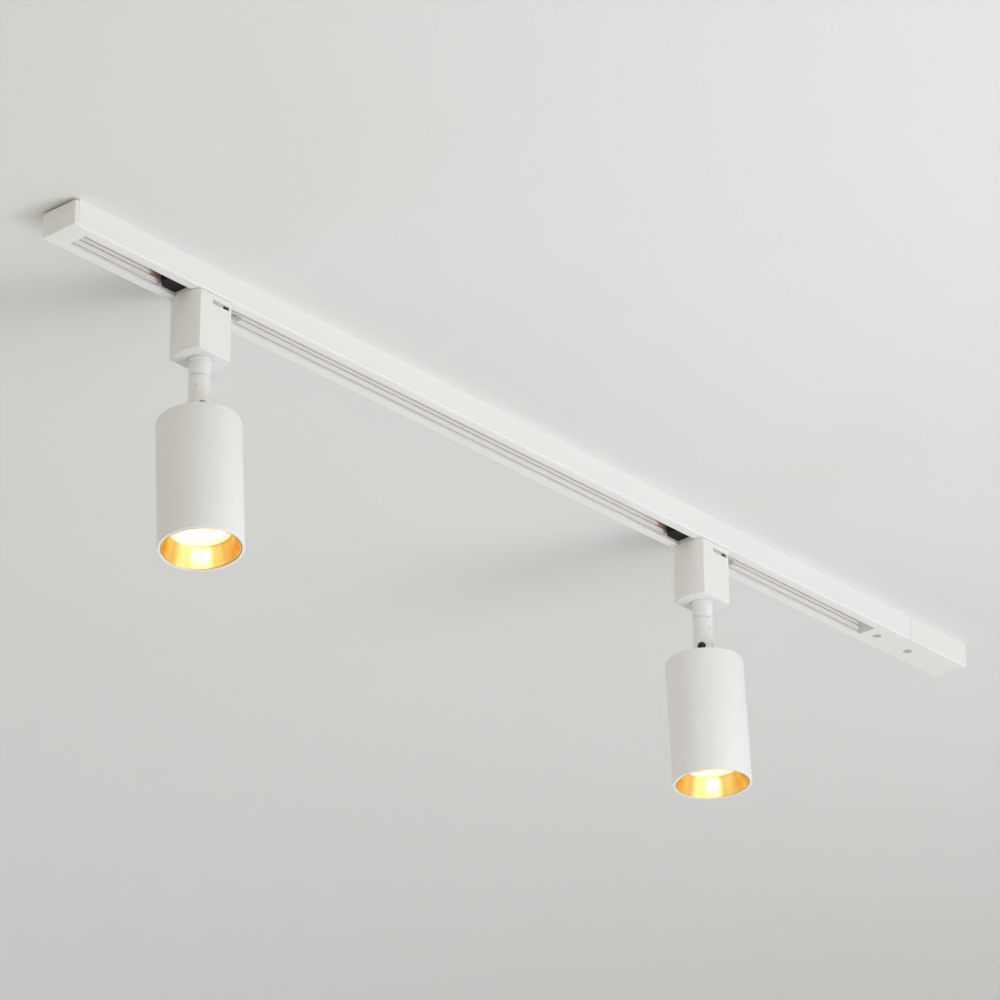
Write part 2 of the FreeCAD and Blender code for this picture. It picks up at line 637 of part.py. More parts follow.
def build_shell(head, side, name, frame):
    """One moulded half of the adapter; side is -1 for the near half and 1 for the far half."""
    wall = cell("shell_wall")
    body = new_body(f"{head}_{name}_body")
    plan = shell_sketch(body, "shell_plan", side, SHELL_HALF, SHELL_APEX, SHELL_SIDE, SHELL_TOP)
    pad(body, plan, cell("shell_height"), reverse=True)
    round_edges(body, cell("seam_round"), lambda edge: (
        edge.BoundBox.ZLength > TOUCH and abs(edge.BoundBox.Center.y) < TOUCH))
    round_edges(body, cell("shell_round"), lambda edge: (
        abs(edge.BoundBox.Center.y) > cell("shell_round").number
        and (edge.BoundBox.ZLength > TOUCH or at_height(SHELL_LOW)(edge))))
    neck = shell_sketch(body, "neck_plan", side, cell("neck_corner"), cell("neck_apex"),
                        cell("neck_width") / 2, SHELL_TOP)
    pad(body, neck, cell("neck_rise"))
    cavity = shell_sketch(body, "cavity_plan", side, SHELL_HALF - wall, SHELL_APEX - wall,
                          SHELL_SIDE - wall, FLOOR_TOP)
    pocket(body, cavity, ROOF_LOW - FLOOR_TOP, reverse=True)
    throat = new_sketch(body, "XY_Plane", "neck_opening", lift=NECK_TOP)
    reach = cell("neck_corner") - cell("neck_wall")
    inner = (cell("neck_width") / 2 - cell("neck_wall")) * side
    outline(throat, [(-reach, ZERO), (-reach, inner), (reach, inner), (reach, ZERO)])
    pocket(body, throat, NECK_TOP - ROOF_LOW)
    hole = new_sketch(body, "XY_Plane", "collar_hole", lift=SHELL_LOW)
    ring(hole, ZERO, ZERO, cell("hole_radius"))
    pocket(body, hole, wall, reverse=True)
    posts = new_sketch(body, "XZ_Plane", "screw_posts")
    bores = new_sketch(body, "XZ_Plane", "screw_bores")
    sinks = new_sketch(body, "XZ_Plane", "screw_sinks", lift=-SHELL_SIDE)
    level = SHELL_TOP - cell("post_drop")
    for x in (-cell("post_x"), cell("post_x")):
        ring(posts, x, level, cell("post_radius"))
        ring(bores, x, level, cell("post_bore"))
        ring(sinks, x, level, cell("shell_screw_head") + cell("running_play"))
    pad(body, posts, SHELL_SIDE - wall / 2, reverse=side > 0)
    pocket(body, bores, SHELL_SIDE - wall if side < 0 else SHELL_SIDE, reverse=side < 0)
    if side > 0:
        pocket(body, sinks, cell("shell_screw_sink"), reverse=True)
        cut_latch_notch(body)
    else:
        body.removeObject(sinks)
        doc.removeObject(sinks.Name)
        cut_window(body)
    keep(body, f"{head}_{name}", frame)


def cut_window(body):
    """The window that the lock tab shows through."""
    window = new_sketch(body, "XZ_Plane", "tab_window", lift=SHELL_SIDE)
    start = cell("window_start")
    top = SHELL_TOP - cell("window_drop")
    low = top - cell("window_height")
    end = start + cell("window_length")
    outline(window, [(start, low), (end, low), (end, top), (start, top)])
    pocket(body, window, cell("shell_wall"))


def cut_latch_notch(body):
    """The notch in the neck's end that the latch bar slides through."""
    inside = cell("neck_corner") - cell("neck_wall")
    notch = new_sketch(body, "YZ_Plane", "latch_notch", lift=inside)
    low = NECK_TOP - LATCH_DROP - cell("latch_play")
    side = cell("latch_side") + cell("latch_width") / 2 + cell("latch_play")
    outline(notch, [(ZERO, low), (side, low), (side, NECK_TOP), (ZERO, NECK_TOP)])
    pocket(body, notch, cell("neck_apex") - inside, reverse=True)


def build_shell_screws(head, frame):
    level = SHELL_TOP - cell("post_drop")
    seat = SHELL_SIDE - cell("shell_screw_sink")
    screws = []
    for x in (-cell("post_x"), cell("post_x")):
        head_part = rod("shell_screw_head", cell("shell_screw_head"), cell("shell_screw_sink") / 2,
                        x, seat + cell("shell_screw_sink") / 2, level, ACROSS * -1)
        shank = rod("shell_screw_shank", cell("post_bore"), cell("shell_screw_length"),
                    x, seat, level, ACROSS * -1)
        slim = cell("cross_width") / 2
        drive = block("shell_screw_drive", (x - cell("cross_length") / 2, x + cell("cross_length") / 2),
                      (seat + cell("shell_screw_sink") / 2 - cell("cross_depth"),
                       seat + cell("shell_screw_sink") / 2), (level - slim, level + slim))
        screws.append(cut("shell_screw", fuse("shell_screw_blank", head_part, shank), drive))
    keep(group("shell_screw_pair", *screws), f"{head}_shell_screws", frame)


def wing_blanks():
    """The steel wings that hang the adapter on the rail's lips."""
    middle = LIP_TOP + cell("lock_gap") / 2
    height = (middle - cell("wing_thick") / 2, middle + cell("wing_thick") / 2)
    tip = HALF_SLOT + cell("wing_reach")
    root = cell("carrier_width") / 2 - cell("finger_root") * 2
    return [block("wing_far", (-cell("wing_end"), -cell("wing_start")), (root, tip), height),
            block("wing_near", (-cell("wing_end"), -cell("wing_start")), (-tip, -root), height),
            block("wing_heel", (cell("heel_wing_start"), cell("carrier_heel")), (-tip, -root), height)]


def finger_blanks():
    """The contact fingers, one in the groove of each conductor."""
    root = cell("carrier_width") / 2 - cell("finger_root")
    tip = HALF_SLOT + cell("finger_reach")
    fingers = []
    for side, level in ((1, "far_low_level"), (1, "far_high_level"), (-1, "near_level")):
        low = RAIL_LOW + cell(level) - cell("finger_thick") / 2
        across = (root, tip) if side > 0 else (-tip, -root)
        fingers.append(block(f"finger_{level}", (-cell("finger_end"), -cell("finger_start")), across,
                             (low, low + cell("finger_thick"))))
    return fingers


def build_carrier(head, frame):
    """The black insulating bar inside the slot, with its spigot down into the shells."""
    side = cell("carrier_width") / 2
    top = NECK_TOP + cell("carrier_rise")
    low = NECK_TOP - cell("carrier_drop")
    nose = cell("carrier_left") - side
    step = cell("carrier_step")
    spigot_low = NECK_TOP - cell("spigot_drop")
    bar = block("carrier_bar", (-nose, cell("carrier_right")), (-side, side), (NECK_TOP, top))
    deep = block("carrier_deep", (-nose, -step), (-side, side), (low, NECK_TOP))
    end = rod("carrier_end", side, top - low, -nose, ZERO, low)
    heel = block("carrier_heel", (step, cell("carrier_heel")), (-side, -cell("heel_side")), (low, NECK_TOP))
    spigot = block("spigot", (-cell("spigot_left"), cell("spigot_right")),
                   (-cell("spigot_side"), cell("spigot_side")), (spigot_low, NECK_TOP))
    flange = block("spigot_flange", (-cell("spigot_left") - cell("flange_out"), cell("spigot_right")),
                   (-cell("flange_side"), cell("flange_side")), (spigot_low, spigot_low + cell("flange_thick")))
    bar_union = fuse("carrier_union", bar, deep, end, heel, spigot, flange)
    keep(cut("carrier", bar_union, *wing_blanks(), *finger_blanks()), f"{head}_contact_carrier", frame)
    keep(group("wings", *wing_blanks()), f"{head}_locking_wings", frame)
    keep(group("fingers", *finger_blanks()), f"{head}_contacts", frame)


LATCH_DROP = cell("latch_play") + cell("latch_thick") + cell("inner_play") * 2


def build_lock(head, frame):
    """The tab in the window, and the plated latch that it carries along the slot."""
    play = cell("tab_play")
    window_top = SHELL_TOP - cell("window_drop")
    window_low = window_top - cell("window_height")
    tab_start = cell("window_start") + play
    front = -SHELL_SIDE + cell("tab_sink")
    plate_front = -SHELL_SIDE + cell("shell_wall") + cell("slider_gap")
    plate_back = plate_front + cell("slider_thick")
    margin = cell("slider_margin")
    tab = block("tab", (tab_start, tab_start + cell("tab_length")), (front, plate_back),
                (window_low + play, window_top - play))
    slider = block("slider", (-cell("slider_left"), cell("slider_right")), (plate_front, plate_back),
                   (window_low - margin, window_top + margin))
    keep(fuse("lock_tab_union", tab, slider), f"{head}_lock_tab", frame)

    low = NECK_TOP - LATCH_DROP
    high = low + cell("latch_thick")
    near = cell("latch_side") - cell("latch_width") / 2
    far = cell("latch_side") + cell("latch_width") / 2
    leg = (cell("leg_x"), cell("leg_x") + cell("leg_thick"))
    arm_top = SHELL_TOP - cell("arm_drop")
    arm_low = arm_top - cell("arm_thick")
    bar = block("latch_bar", (cell("leg_x"), cell("latch_reach")), (near, far), (low, high))
    nose = rod("latch_nose", cell("latch_nose"), cell("latch_thick"), cell("latch_reach"),
               cell("latch_side"), low)
    drop = block("latch_leg", leg, (near, far), (arm_low, high))
    arm = block("latch_arm", leg, (plate_back, far), (arm_low, arm_top))
    keep(fuse("latch_union", bar, nose, drop, arm), f"{head}_latch_plate", frame)


# --- Swivel ---------------------------------------------------------------

def build_swivel_seat(head, frame):
    """What the stem turns on: the collar in the adapter's floor, its tube and its nut."""
    bore = cell("nipple_radius")
    low = FLOOR_TOP + cell("inner_play") * 2
    flange_top = low + cell("collar_flange_thick")
    collar = turned("stem_collar", [
        (bore, flange_top), (cell("collar_flange"), flange_top), (cell("collar_flange"), low),
        (cell("collar_barrel"), low), (cell("collar_barrel"), SHELL_LOW - cell("barrel_drop")),
        (cell("stem_radius"), SHELL_LOW - cell("barrel_drop")),
        (cell("stem_radius"), SHELL_LOW - cell("collar_drop")), (bore, SHELL_LOW - cell("collar_drop"))])
    keep(collar, f"{head}_stem_collar", frame)

    nut = hexagon("nipple_nut", cell("nut_flats"), cell("nut_height"), ZERO, ZERO, flange_top)
    nut_bore = rod("nipple_nut_bore", bore, cell("nut_height"), ZERO, ZERO, flange_top)
    keep(cut("nipple_nut_cut", nut, nut_bore), f"{head}_nipple_nut", frame)

    groove = STEM_TOP - cell("set_screw_level")
    half = cell("set_groove_height") / 2
    top = low + cell("nipple_top")
    end = STEM_TOP - cell("nipple_below")
    nipple = turned("nipple", [
        (cell("nipple_bore"), top), (bore, top), (bore, groove + half),
        (cell("set_groove_floor"), groove + half), (cell("set_groove_floor"), groove - half),
        (bore, groove - half), (bore, end), (cell("nipple_bore"), end)])
    rib_half = cell("stop_rib_width") / 2
    rib = block("stop_rib", (-cell("stop_rib_reach"), -(cell("nipple_bore") + cell("inner_play"))),
                (-rib_half, rib_half), (groove - half, groove + half))
    keep(fuse("nipple_union", nipple, spun("rib_spun", rib, cell("set_screw_angle").number)),
         f"{head}_swivel_nipple", frame)

    lead_top = NECK_TOP - cell("spigot_drop")
    lead_low = PIVOT + cell("fork_slot_top") + cell("lead_gap")
    leads = []
    for place_number in range(3):
        turn = math.tau * place_number / 3
        leads.append(rod("lead", cell("lead_radius"), lead_top - lead_low,
                         cell("lead_circle") * math.cos(turn), cell("lead_circle") * math.sin(turn),
                         lead_low))
    keep(group("lead_bundle", *leads), f"{head}_leads", frame)


def build_stem(head, frame):
    """The stem: a socket over the swivel tube above, and a fork for the tilt joint below."""
    radius = cell("stem_radius")
    outside = rod("stem_outside", radius, STEM_TOP - PIVOT, ZERO, ZERO, PIVOT)
    tip = common("stem_tip", rod("stem_tip_post", radius, radius, ZERO, ZERO, PIVOT - radius),
                 rod("stem_tip_round", radius, radius * 2, ZERO, -radius, PIVOT, ACROSS))
    blank = fuse("stem_blank", outside, tip)
    socket_low = STEM_TOP - cell("nipple_below") - cell("swivel_gap")
    socket = rod("stem_socket", cell("nipple_radius") + cell("running_play"), STEM_TOP - socket_low,
                 ZERO, ZERO, socket_low)
    wire_way = rod("stem_wire_way", cell("wire_bore"), STEM_TOP - PIVOT, ZERO, ZERO, PIVOT)
    slot_side = cell("fork_slot") / 2
    slot = block("fork_slot", (-radius, radius), (-slot_side, slot_side),
                 (PIVOT - radius, PIVOT + cell("fork_slot_top")))
    bore = rod("fork_bore", cell("pivot_radius") + cell("inner_play"), radius * 2, ZERO, -radius,
               PIVOT, ACROSS)
    head_seat = -radius + cell("pivot_sink")
    head_well = rod("fork_head_well", cell("pivot_head") + cell("head_play"), cell("pivot_sink"),
                    ZERO, -radius, PIVOT, ACROSS)
    nut_seat = radius - cell("pivot_nut_height") - cell("head_play")
    nut_well = hexagon("fork_nut_well", cell("pivot_nut_flats") + cell("head_play"), radius,
                       ZERO, nut_seat, PIVOT, ACROSS)
    turn = math.radians(cell("set_screw_angle").number)
    outward = FreeCAD.Vector(math.cos(turn), math.sin(turn), 0)
    level = STEM_TOP - cell("set_screw_level")
    set_bore = rod("set_screw_bore", cell("set_screw_radius") + cell("inner_play"), radius,
                   ZERO, ZERO, level, outward)
    keep(cut("stem", blank, socket, wire_way, slot, bore, head_well, nut_well, set_bore),
         f"{head}_stem", frame)

    tip_x = cell("set_tip") * outward.x
    tip_y = cell("set_tip") * outward.y
    length = radius - cell("set_tip") - cell("set_sink")
    key_start = radius - cell("set_sink") - cell("hex_key_depth")
    set_blank = rod("set_screw_blank", cell("set_screw_radius"), length, tip_x, tip_y, level, outward)
    set_key = hexagon("set_screw_key", cell("hex_key"), cell("hex_key_depth"),
                      key_start * outward.x, key_start * outward.y, level, outward)
    keep(cut("set_screw", set_blank, set_key), f"{head}_stem_set_screw", frame)

    cap = rod("pivot_cap", cell("pivot_head"), cell("pivot_head_height"), ZERO, head_seat, PIVOT,
              ACROSS * -1)
    shank = rod("pivot_shank", cell("pivot_radius"), nut_seat + cell("pivot_nut_height") - head_seat,
                ZERO, head_seat, PIVOT, ACROSS)
    key_front = head_seat - cell("pivot_head_height") + cell("pivot_key_depth")
    key = hexagon("pivot_key", cell("pivot_key"), cell("pivot_key_depth"), ZERO, key_front, PIVOT,
                  ACROSS * -1)
    keep(cut("pivot_screw", fuse("pivot_blank", cap, shank), key), f"{head}_pivot_screw", frame)

    nut = hexagon("pivot_nut", cell("pivot_nut_flats"), cell("pivot_nut_height"), ZERO, nut_seat,
                  PIVOT, ACROSS)
    nut_bore = rod("pivot_nut_bore", cell("pivot_radius"), cell("pivot_nut_height"), ZERO, nut_seat,
                   PIVOT, ACROSS)
    keep(cut("pivot_nut_cut", nut, nut_bore), f"{head}_pivot_nut", frame)


# --- Lamp, measured from the tilt axis ------------------------------------

def build_bracket(head, frame):
    """The tongue between the fork's prongs, on a foot screwed to the lamp housing."""
    half = cell("tongue_thick") / 2
    foot_top = CAN_TOP + cell("base_thick")
    eye = rod("tongue_eye", cell("tongue_radius"), half * 2, ZERO, -half, ZERO, ACROSS)
    web = block("tongue_web", (-cell("tongue_radius"), cell("tongue_radius")), (-half, half),
                (CAN_TOP, ZERO))
    foot = rod("bracket_foot", cell("base_radius"), cell("base_thick"), ZERO, ZERO, CAN_TOP)
    bore = rod("tongue_bore", cell("pivot_radius") + cell("running_play"), half * 2, ZERO, -half,
               ZERO, ACROSS)
    holes = [rod("foot_hole", cell("base_screw_shank") + cell("inner_play"), cell("base_thick"), ZERO,
                 cell("base_screw_place") * side, CAN_TOP) for side in (-1, 1)]
    lead = rod("foot_lead_hole", cell("lead_hole"), cell("base_thick"), -cell("lead_hole_place"),
               ZERO, CAN_TOP)
    keep(cut("bracket", fuse("bracket_blank", eye, web, foot), bore, *holes, lead),
         f"{head}_tilt_bracket", frame)

    screws = []
    for side in (-1, 1):
        y = cell("base_screw_place") * side
        cap = rod("bracket_screw_cap", cell("base_screw_head"), cell("base_screw_height"), ZERO, y, foot_top)
        shank = rod("bracket_screw_shank", cell("base_screw_shank"), cell("base_screw_length"), ZERO, y,
                    foot_top - cell("base_screw_length"))
        slim = cell("cross_width") / 2
        long_half = cell("cross_length") / 2
        height = (foot_top + cell("base_screw_height") - cell("cross_depth"),
                  foot_top + cell("base_screw_height"))
        drives = [block("bracket_drive_a", (-long_half, long_half), (y - slim, y + slim), height),
                  block("bracket_drive_b", (-slim, slim), (y - long_half, y + long_half), height)]
        screws.append(cut("bracket_screw", fuse("bracket_screw_blank", cap, shank), *drives))
    keep(group("bracket_screw_pair", *screws), f"{head}_bracket_screws", frame)


def build_housing(head, frame):
    radius = cell("can_radius")
    bore = radius - cell("can_wall")
    under = CAN_TOP - cell("can_top")
    body = turned("housing", [(ZERO, CAN_TOP), (radius, CAN_TOP), (radius, CAN_LOW),
                              (bore, CAN_LOW), (bore, under), (ZERO, under)])
    round_edges(body, cell("can_round"), at_height(CAN_TOP))
    round_edges(body, cell("mouth_round"), at_height(CAN_LOW))
    holes = new_sketch(body, "XY_Plane", "housing_holes", lift=CAN_TOP)
    for side in (-1, 1):
        ring(holes, ZERO, cell("base_screw_place") * side, cell("base_screw_shank"))
    ring(holes, -cell("lead_hole_place"), ZERO, cell("lead_hole"))
    pocket(body, holes, cell("can_top"))
    keep(body, f"{head}_lamp_housing", frame)


def build_lampholder(head, frame):
    """The ceramic holder that grips the bulb's two pins, and the strap that hangs it."""
    low = RIM + cell("baffle_wall") + cell("bulb_length") + cell("inner_play")
    shoulder = low + cell("holder_shoulder")
    top = low + cell("holder_height")
    body = turned("lampholder", [
        (ZERO, low), (cell("holder_radius"), low), (cell("holder_radius"), shoulder),
        (cell("holder_crown"), shoulder), (cell("holder_crown"), top), (ZERO, top)])
    pins = new_sketch(body, "XY_Plane", "pin_bores", lift=low)
    for x in (-cell("pin_pitch"), cell("pin_pitch")):
        ring(pins, x, ZERO, cell("pin_bore"))
    pocket(body, pins, cell("pin_bore_depth"), reverse=True)
    keep(body, f"{head}_lampholder", frame)

    under = CAN_TOP - cell("can_top")
    inner = cell("holder_radius")
    outer = inner + cell("strap_thick")
    side = cell("strap_width") / 2
    plate_low = under - cell("strap_thick")
    plate = block("strap_plate", (-outer, outer), (-side, side), (plate_low, under))
    legs = [block("strap_leg_left", (-outer, -inner), (-side, side), (under - cell("strap_drop"), under)),
            block("strap_leg_right", (inner, outer), (-side, side), (under - cell("strap_drop"), under))]
    shanks = [rod("strap_hole", cell("base_screw_shank"), cell("can_top") * 2, ZERO,
                  cell("base_screw_place") * sign, plate_low - cell("can_top")) for sign in (-1, 1)]
    lead = rod("strap_lead_hole", cell("lead_hole"), cell("strap_thick"), -cell("lead_hole_place"),
               ZERO, plate_low)
    keep(cut("strap", fuse("strap_blank", plate, *legs), *shanks, lead), f"{head}_holder_bracket", frame)


def bowl_line(front, skirt, throat):
    """Points of the reflector's bowl, a parabola from the wide skirt back to the throat."""
    steps = int(cell("bulb_steps").number)
    points = []
    for step in range(steps + 1):
        radius = skirt - (skirt - throat) * step / steps
        height = cell("bulb_bowl") * (as_size(1) - radius * radius / (skirt * skirt))
        points.append((radius, front + height))
    return points


def build_bulb(head, frame):
    """The reflector bulb: pressed bowl, neck and base in one, with two pins and a front glass."""
    front = RIM + cell("baffle_wall")
    rim_top = front + cell("bulb_rim_height")
    back = front + cell("bulb_length")
    glass_top = front + cell("lens_inset") + cell("lens_thick")
    wall = cell("bulb_wall")
    outside = bowl_line(rim_top, cell("bulb_skirt"), cell("bulb_throat"))
    inside = bowl_line(glass_top, cell("bulb_skirt") - wall, cell("bulb_throat") - wall)
    inside_rim = cell("bulb_skirt") - wall / 2
    corners = [(cell("bulb_rim"), front), (cell("bulb_rim"), rim_top)] + outside
    corners += [(cell("bulb_neck"), outside[-1][1]), (cell("bulb_neck"), back), (ZERO, back)]
    corners += [(ZERO, inside[-1][1])] + list(reversed(inside))
    corners += [(inside_rim, glass_top), (inside_rim, front)]
    shell = turned("bulb_shell", corners)
    pins = []
    for x in (-cell("pin_pitch"), cell("pin_pitch")):
        pins.append(rod("pin_shank", cell("pin_shank"), cell("pin_length"), x, ZERO, back))
        pins.append(rod("pin_head", cell("pin_radius"), cell("pin_head"), x, ZERO,
                        back + cell("pin_length") - cell("pin_head")))
    keep(fuse("bulb_union", shell, *pins), f"{head}_bulb", frame)
    glass = rod("front_glass", inside_rim - cell("lens_play"), cell("lens_thick"), ZERO, ZERO,
                front + cell("lens_inset"))
    keep(group("glass_group", glass), f"{head}_bulb_lens", frame)


def build_baffle(head, frame):
    """The gold-coloured sleeve in the mouth: a cone with a ledge under the bulb's rim."""
    wall = cell("baffle_wall")
    low = CAN_LOW + cell("baffle_inset")
    mouth = cell("baffle_mouth")
    throat = cell("baffle_throat")
    body = turned("baffle", [
        (mouth, low), (mouth - wall, low), (throat, RIM), (cell("baffle_ledge"), RIM),
        (cell("baffle_ledge"), RIM + wall), (cell("baffle_flange"), RIM + wall),
        (cell("baffle_flange"), RIM), (throat + wall, RIM)])
    keep(body, f"{head}_gold_baffle", frame)


def build_head(head):
    x = cell(f"{head}_x").number
    swivel = FreeCAD.Rotation(UP, cell(f"{head}_swivel").number)
    tilt = FreeCAD.Rotation(ACROSS, -cell(f"{head}_tilt").number)
    carriage = FreeCAD.Placement(FreeCAD.Vector(x, 0, 0), FreeCAD.Rotation())
    turned_frame = FreeCAD.Placement(FreeCAD.Vector(x, 0, 0), swivel)
    lamp = FreeCAD.Placement(FreeCAD.Vector(x, 0, PIVOT.number), swivel * tilt)
    build_shell(head, -1, "shell_near", carriage)
    build_shell(head, 1, "shell_far", carriage)
    build_shell_screws(head, carriage)
    build_carrier(head, carriage)
    build_lock(head, carriage)
    build_swivel_seat(head, carriage)
    build_stem(head, turned_frame)
    build_bracket(head, lamp)
    build_housing(head, lamp)
    build_lampholder(head, lamp)
    build_bulb(head, lamp)
    build_baffle(head, lamp)


# --- Build, check and write -----------------------------------------------

def check_document():
    """Stop if any object failed to compute, or a piece is missing or broken."""
    for item in doc.Objects:
        if "Invalid" in item.State or "Error" in item.State:
            raise ValueError(f"{item.Label}: {item.State}")
    for piece in parts:
        if piece.Shape.isNull() or not piece.Shape.isValid() or not piece.Shape.Solids:
            raise ValueError(f"{piece.Label}: no valid solid")


build_rail()
build_insulator("insulator_far", 1, ("far_low_level", "far_high_level"))
build_insulator("insulator_near", -1, ("near_level",))
build_conductors()
build_dead_end()
build_feed_housing()
build_feed_cover()
build_contact_block()
build_supply_blades()
build_live_end_screws()
build_terminals()
for head_name in ("head1", "head2"):
    build_head(head_name)

doc.recompute()
check_document()
os.makedirs("parts", exist_ok=True)
for piece in parts:
    piece.Shape.exportStep(f"parts/{piece.Label}.step")
    print(f"{piece.Label}: {len(piece.Shape.Solids)} solid(s), {piece.Shape.Volume:.0f} mm3")
print(len(parts), "parts written")
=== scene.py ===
"""Looks of a track lighting fixture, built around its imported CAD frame.

The frame is in metres: +X along the rail to its live end, +Z up into the ceiling,
origin in the middle of the rail's ceiling face.
"""

import json
import math

import bmesh
import bpy
from mathutils import Matrix, Vector


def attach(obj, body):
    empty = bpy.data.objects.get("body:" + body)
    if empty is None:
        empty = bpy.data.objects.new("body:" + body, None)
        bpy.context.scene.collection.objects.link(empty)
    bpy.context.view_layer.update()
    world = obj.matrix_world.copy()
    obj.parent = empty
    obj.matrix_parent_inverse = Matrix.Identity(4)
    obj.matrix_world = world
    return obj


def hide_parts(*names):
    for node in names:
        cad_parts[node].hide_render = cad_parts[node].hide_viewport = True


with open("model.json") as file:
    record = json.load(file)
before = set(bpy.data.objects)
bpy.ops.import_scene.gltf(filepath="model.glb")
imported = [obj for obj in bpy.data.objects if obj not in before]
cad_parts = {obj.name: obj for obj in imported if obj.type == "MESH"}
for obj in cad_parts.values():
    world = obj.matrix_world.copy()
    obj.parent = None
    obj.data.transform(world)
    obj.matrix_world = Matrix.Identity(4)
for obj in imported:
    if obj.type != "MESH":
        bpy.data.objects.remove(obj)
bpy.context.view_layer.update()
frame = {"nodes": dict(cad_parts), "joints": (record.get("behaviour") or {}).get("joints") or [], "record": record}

NODES = frame["nodes"]
JOINTS = {joint["name"]: joint for joint in frame["joints"]}
SLOTS = {part["node"]: part["material_slot"] for part in frame["record"]["subparts"]}
HEADS = ("head1", "head2")
MM = 0.001
UP = Vector((0, 0, 1))

# Viewpoint
CAMERA_PLACE = Vector((-2.6759, -2.3744, -1.7958))
CAMERA_YAW = math.radians(48.24)    # from +Y towards +X
CAMERA_PITCH = math.radians(25.87)  # above the horizon
CAMERA_ROLL = math.radians(0.18)
CAMERA_LENS = 178.7
CAMERA_SENSOR = 36
CAMERA_REACH = 100

# The room
CEILING_LEVEL = -0.00005            # a hair under the rail's top, which shows from above
FLOOR_LEVEL = -2.4
ROOM_SIZE = 16
WORLD_COLOR = (1.0, 0.942, 0.826)
WORLD_STRENGTH = 1.295
LIGHTS = (                          # name, place, target, size, power, colour
    ("key", (0.62, -1.84, -1.80), (0, 0, -0.1), 0.9, 11.2, (0.95, 0.99, 1.0)),
    ("bloom", (0.62, -1.84, -1.80), (0, 0, -0.1), 1.8, 14.3, (0.81, 0.85, 1.0)),
    ("fill", (-0.25, -1.0, -1.25), (-0.05, -0.1, 0), 1.2, 5.3, (0.76, 0.86, 1.0)),
    ("low", (0.1, -0.5, -2.2), (0, 0, -0.1), 1.6, 6.5, (1.0, 0.89, 0.68)),
    ("side", (2.6, -1.2, -1.2), (0, 0, -0.1), 1.6, 5.6, (0.36, 0.55, 1.0)),
    ("back", (0.3, 1.8, -1.2), (0, 0, -0.1), 1.6, 6.1, (0.66, 0.81, 1.0)),
    ("above", (0.5, -0.6, 2.2), (0, 0, 0), 2.0, 16, (1.0, 1.0, 1.0)),
)

# Lamp, millimetres
HOUSING_WALL = 2.3
HOUSING_TOP = 2.0
HOUSING_ROUND = 1.0
HOUSING_CORNER = 1.0                # inside, under the roof
LIP_ROUND = 0.45
BAFFLE_WALL = 1.0
BAFFLE_DEPTH = 16.0
BAFFLE_INSET = 0.3
BAFFLE_MOUTH = 29.9
BAFFLE_THROAT = 24.9
BAFFLE_LEDGE = 24.4
BAFFLE_FLANGE = 30.1
BAFFLE_ROLL = 0.35                  # rounding of the mouth's edge
BAFFLE_BEND = 0.6                   # where the cone meets the ledge
BAFFLE_CORNER = 0.3
FLANGE_ROUND = 0.2
BULB_RIM = 24.9
BULB_SKIRT = 24.0
BULB_THROAT = 11.0
BULB_NECK = 9.6
BULB_BOWL = 32.0
BULB_LENGTH = 50.0
BULB_WALL = 1.2
BULB_BOWL_STEPS = 24
BASE_BEVEL = 1.0
BASE_ROUND = 0.4
RIM_HEIGHT = 3.0
RIM_ROUND = 0.5
RIM_INNER_ROUND = 0.2
CROWN_NARROWING = 0.6               # of the reflector's last ring
CROWN_RISE = 2.0
CROWN_TOP = 3.0
BURNER_LENGTH = 11.0
BURNER_ROOT = 1.5                   # how far it stands into the crown
BURNER_RADIUS = 4.2
BURNER_ROOT_RADIUS = 3.4
BURNER_TIP = ((0, 0), (3.2, 0.6), (4.2, 3.0))
LENS_INSET = 0.4
LENS_THICK = 1.6
LENS_RADIUS = 23.3
LENS_ROUND = 0.3
LENS_BACK_ROUND = 0.2
LENS_DISH = 0.1
PIN_PITCH = 5.0
PIN_SHANK = 1.5
PIN_HEAD = 2.3
PIN_HEAD_HEIGHT = 2.0
PIN_HEAD_ROUND = 0.3
PIN_TIP_ROUND = 0.5
PIN_LENGTH = 7.0
FLUTES = 44
FLUTE_RINGS = 6
FLUTE_STEPS = 4
FLUTE_SWELL = 0.35
FLUTE_BASE = 0.45                   # share of the swell left between two rings
OUTER_RIBS = 36
RIB_SEGMENTS = 6
RIB_SWELL = 0.3

# Turned meshes
SPIN_SEGMENTS = 160
SMOOTH_SEGMENTS = 224
BURNER_SEGMENTS = 48
PIN_SEGMENTS = 32
SHARP_ANGLE = math.radians(38)
WELD_DISTANCE = 1e-7
SLIVER_LENGTH = 1e-8

# Light given off by the lamp
BEAM_RADIUS = 5.5                   # millimetres
BEAM_DROP = 0.5                     # millimetres below the bulb's front
BEAM_SPREAD = math.radians(176)
BEAM_EDGE = 0.05
BEAM_POWER = 0.046
BEAM_COLOR = (1.0, 0.95, 0.86)
REFLECTOR_GLOW = 0.92
BURNER_GLOW = 4.0
RIM_GLOW = 0.36
GOLD_PAINTED_GLOW = 0.10                    # painted light: a glow standing in for light thrown from wall to wall inside the sleeve
STRIP_PAINTED_GLOW = 0.07                   # painted light: a faint glow on the insulator that lifts the shade in the slot

# Colours that are mixed into a look
WHITE = (0.83, 0.83, 0.815)
PAINTED_GLOW_GOLD = (1.0, 0.56, 0.02)       # colour of the sleeve's painted glow
OLD_GOLD = (0.45, 0.24, 0.05)       # its cloudy patches
REFLECTION_STREAK_TINT = (0.84, 0.70, 0.35)      # what the painted reflection streaks take off the gold
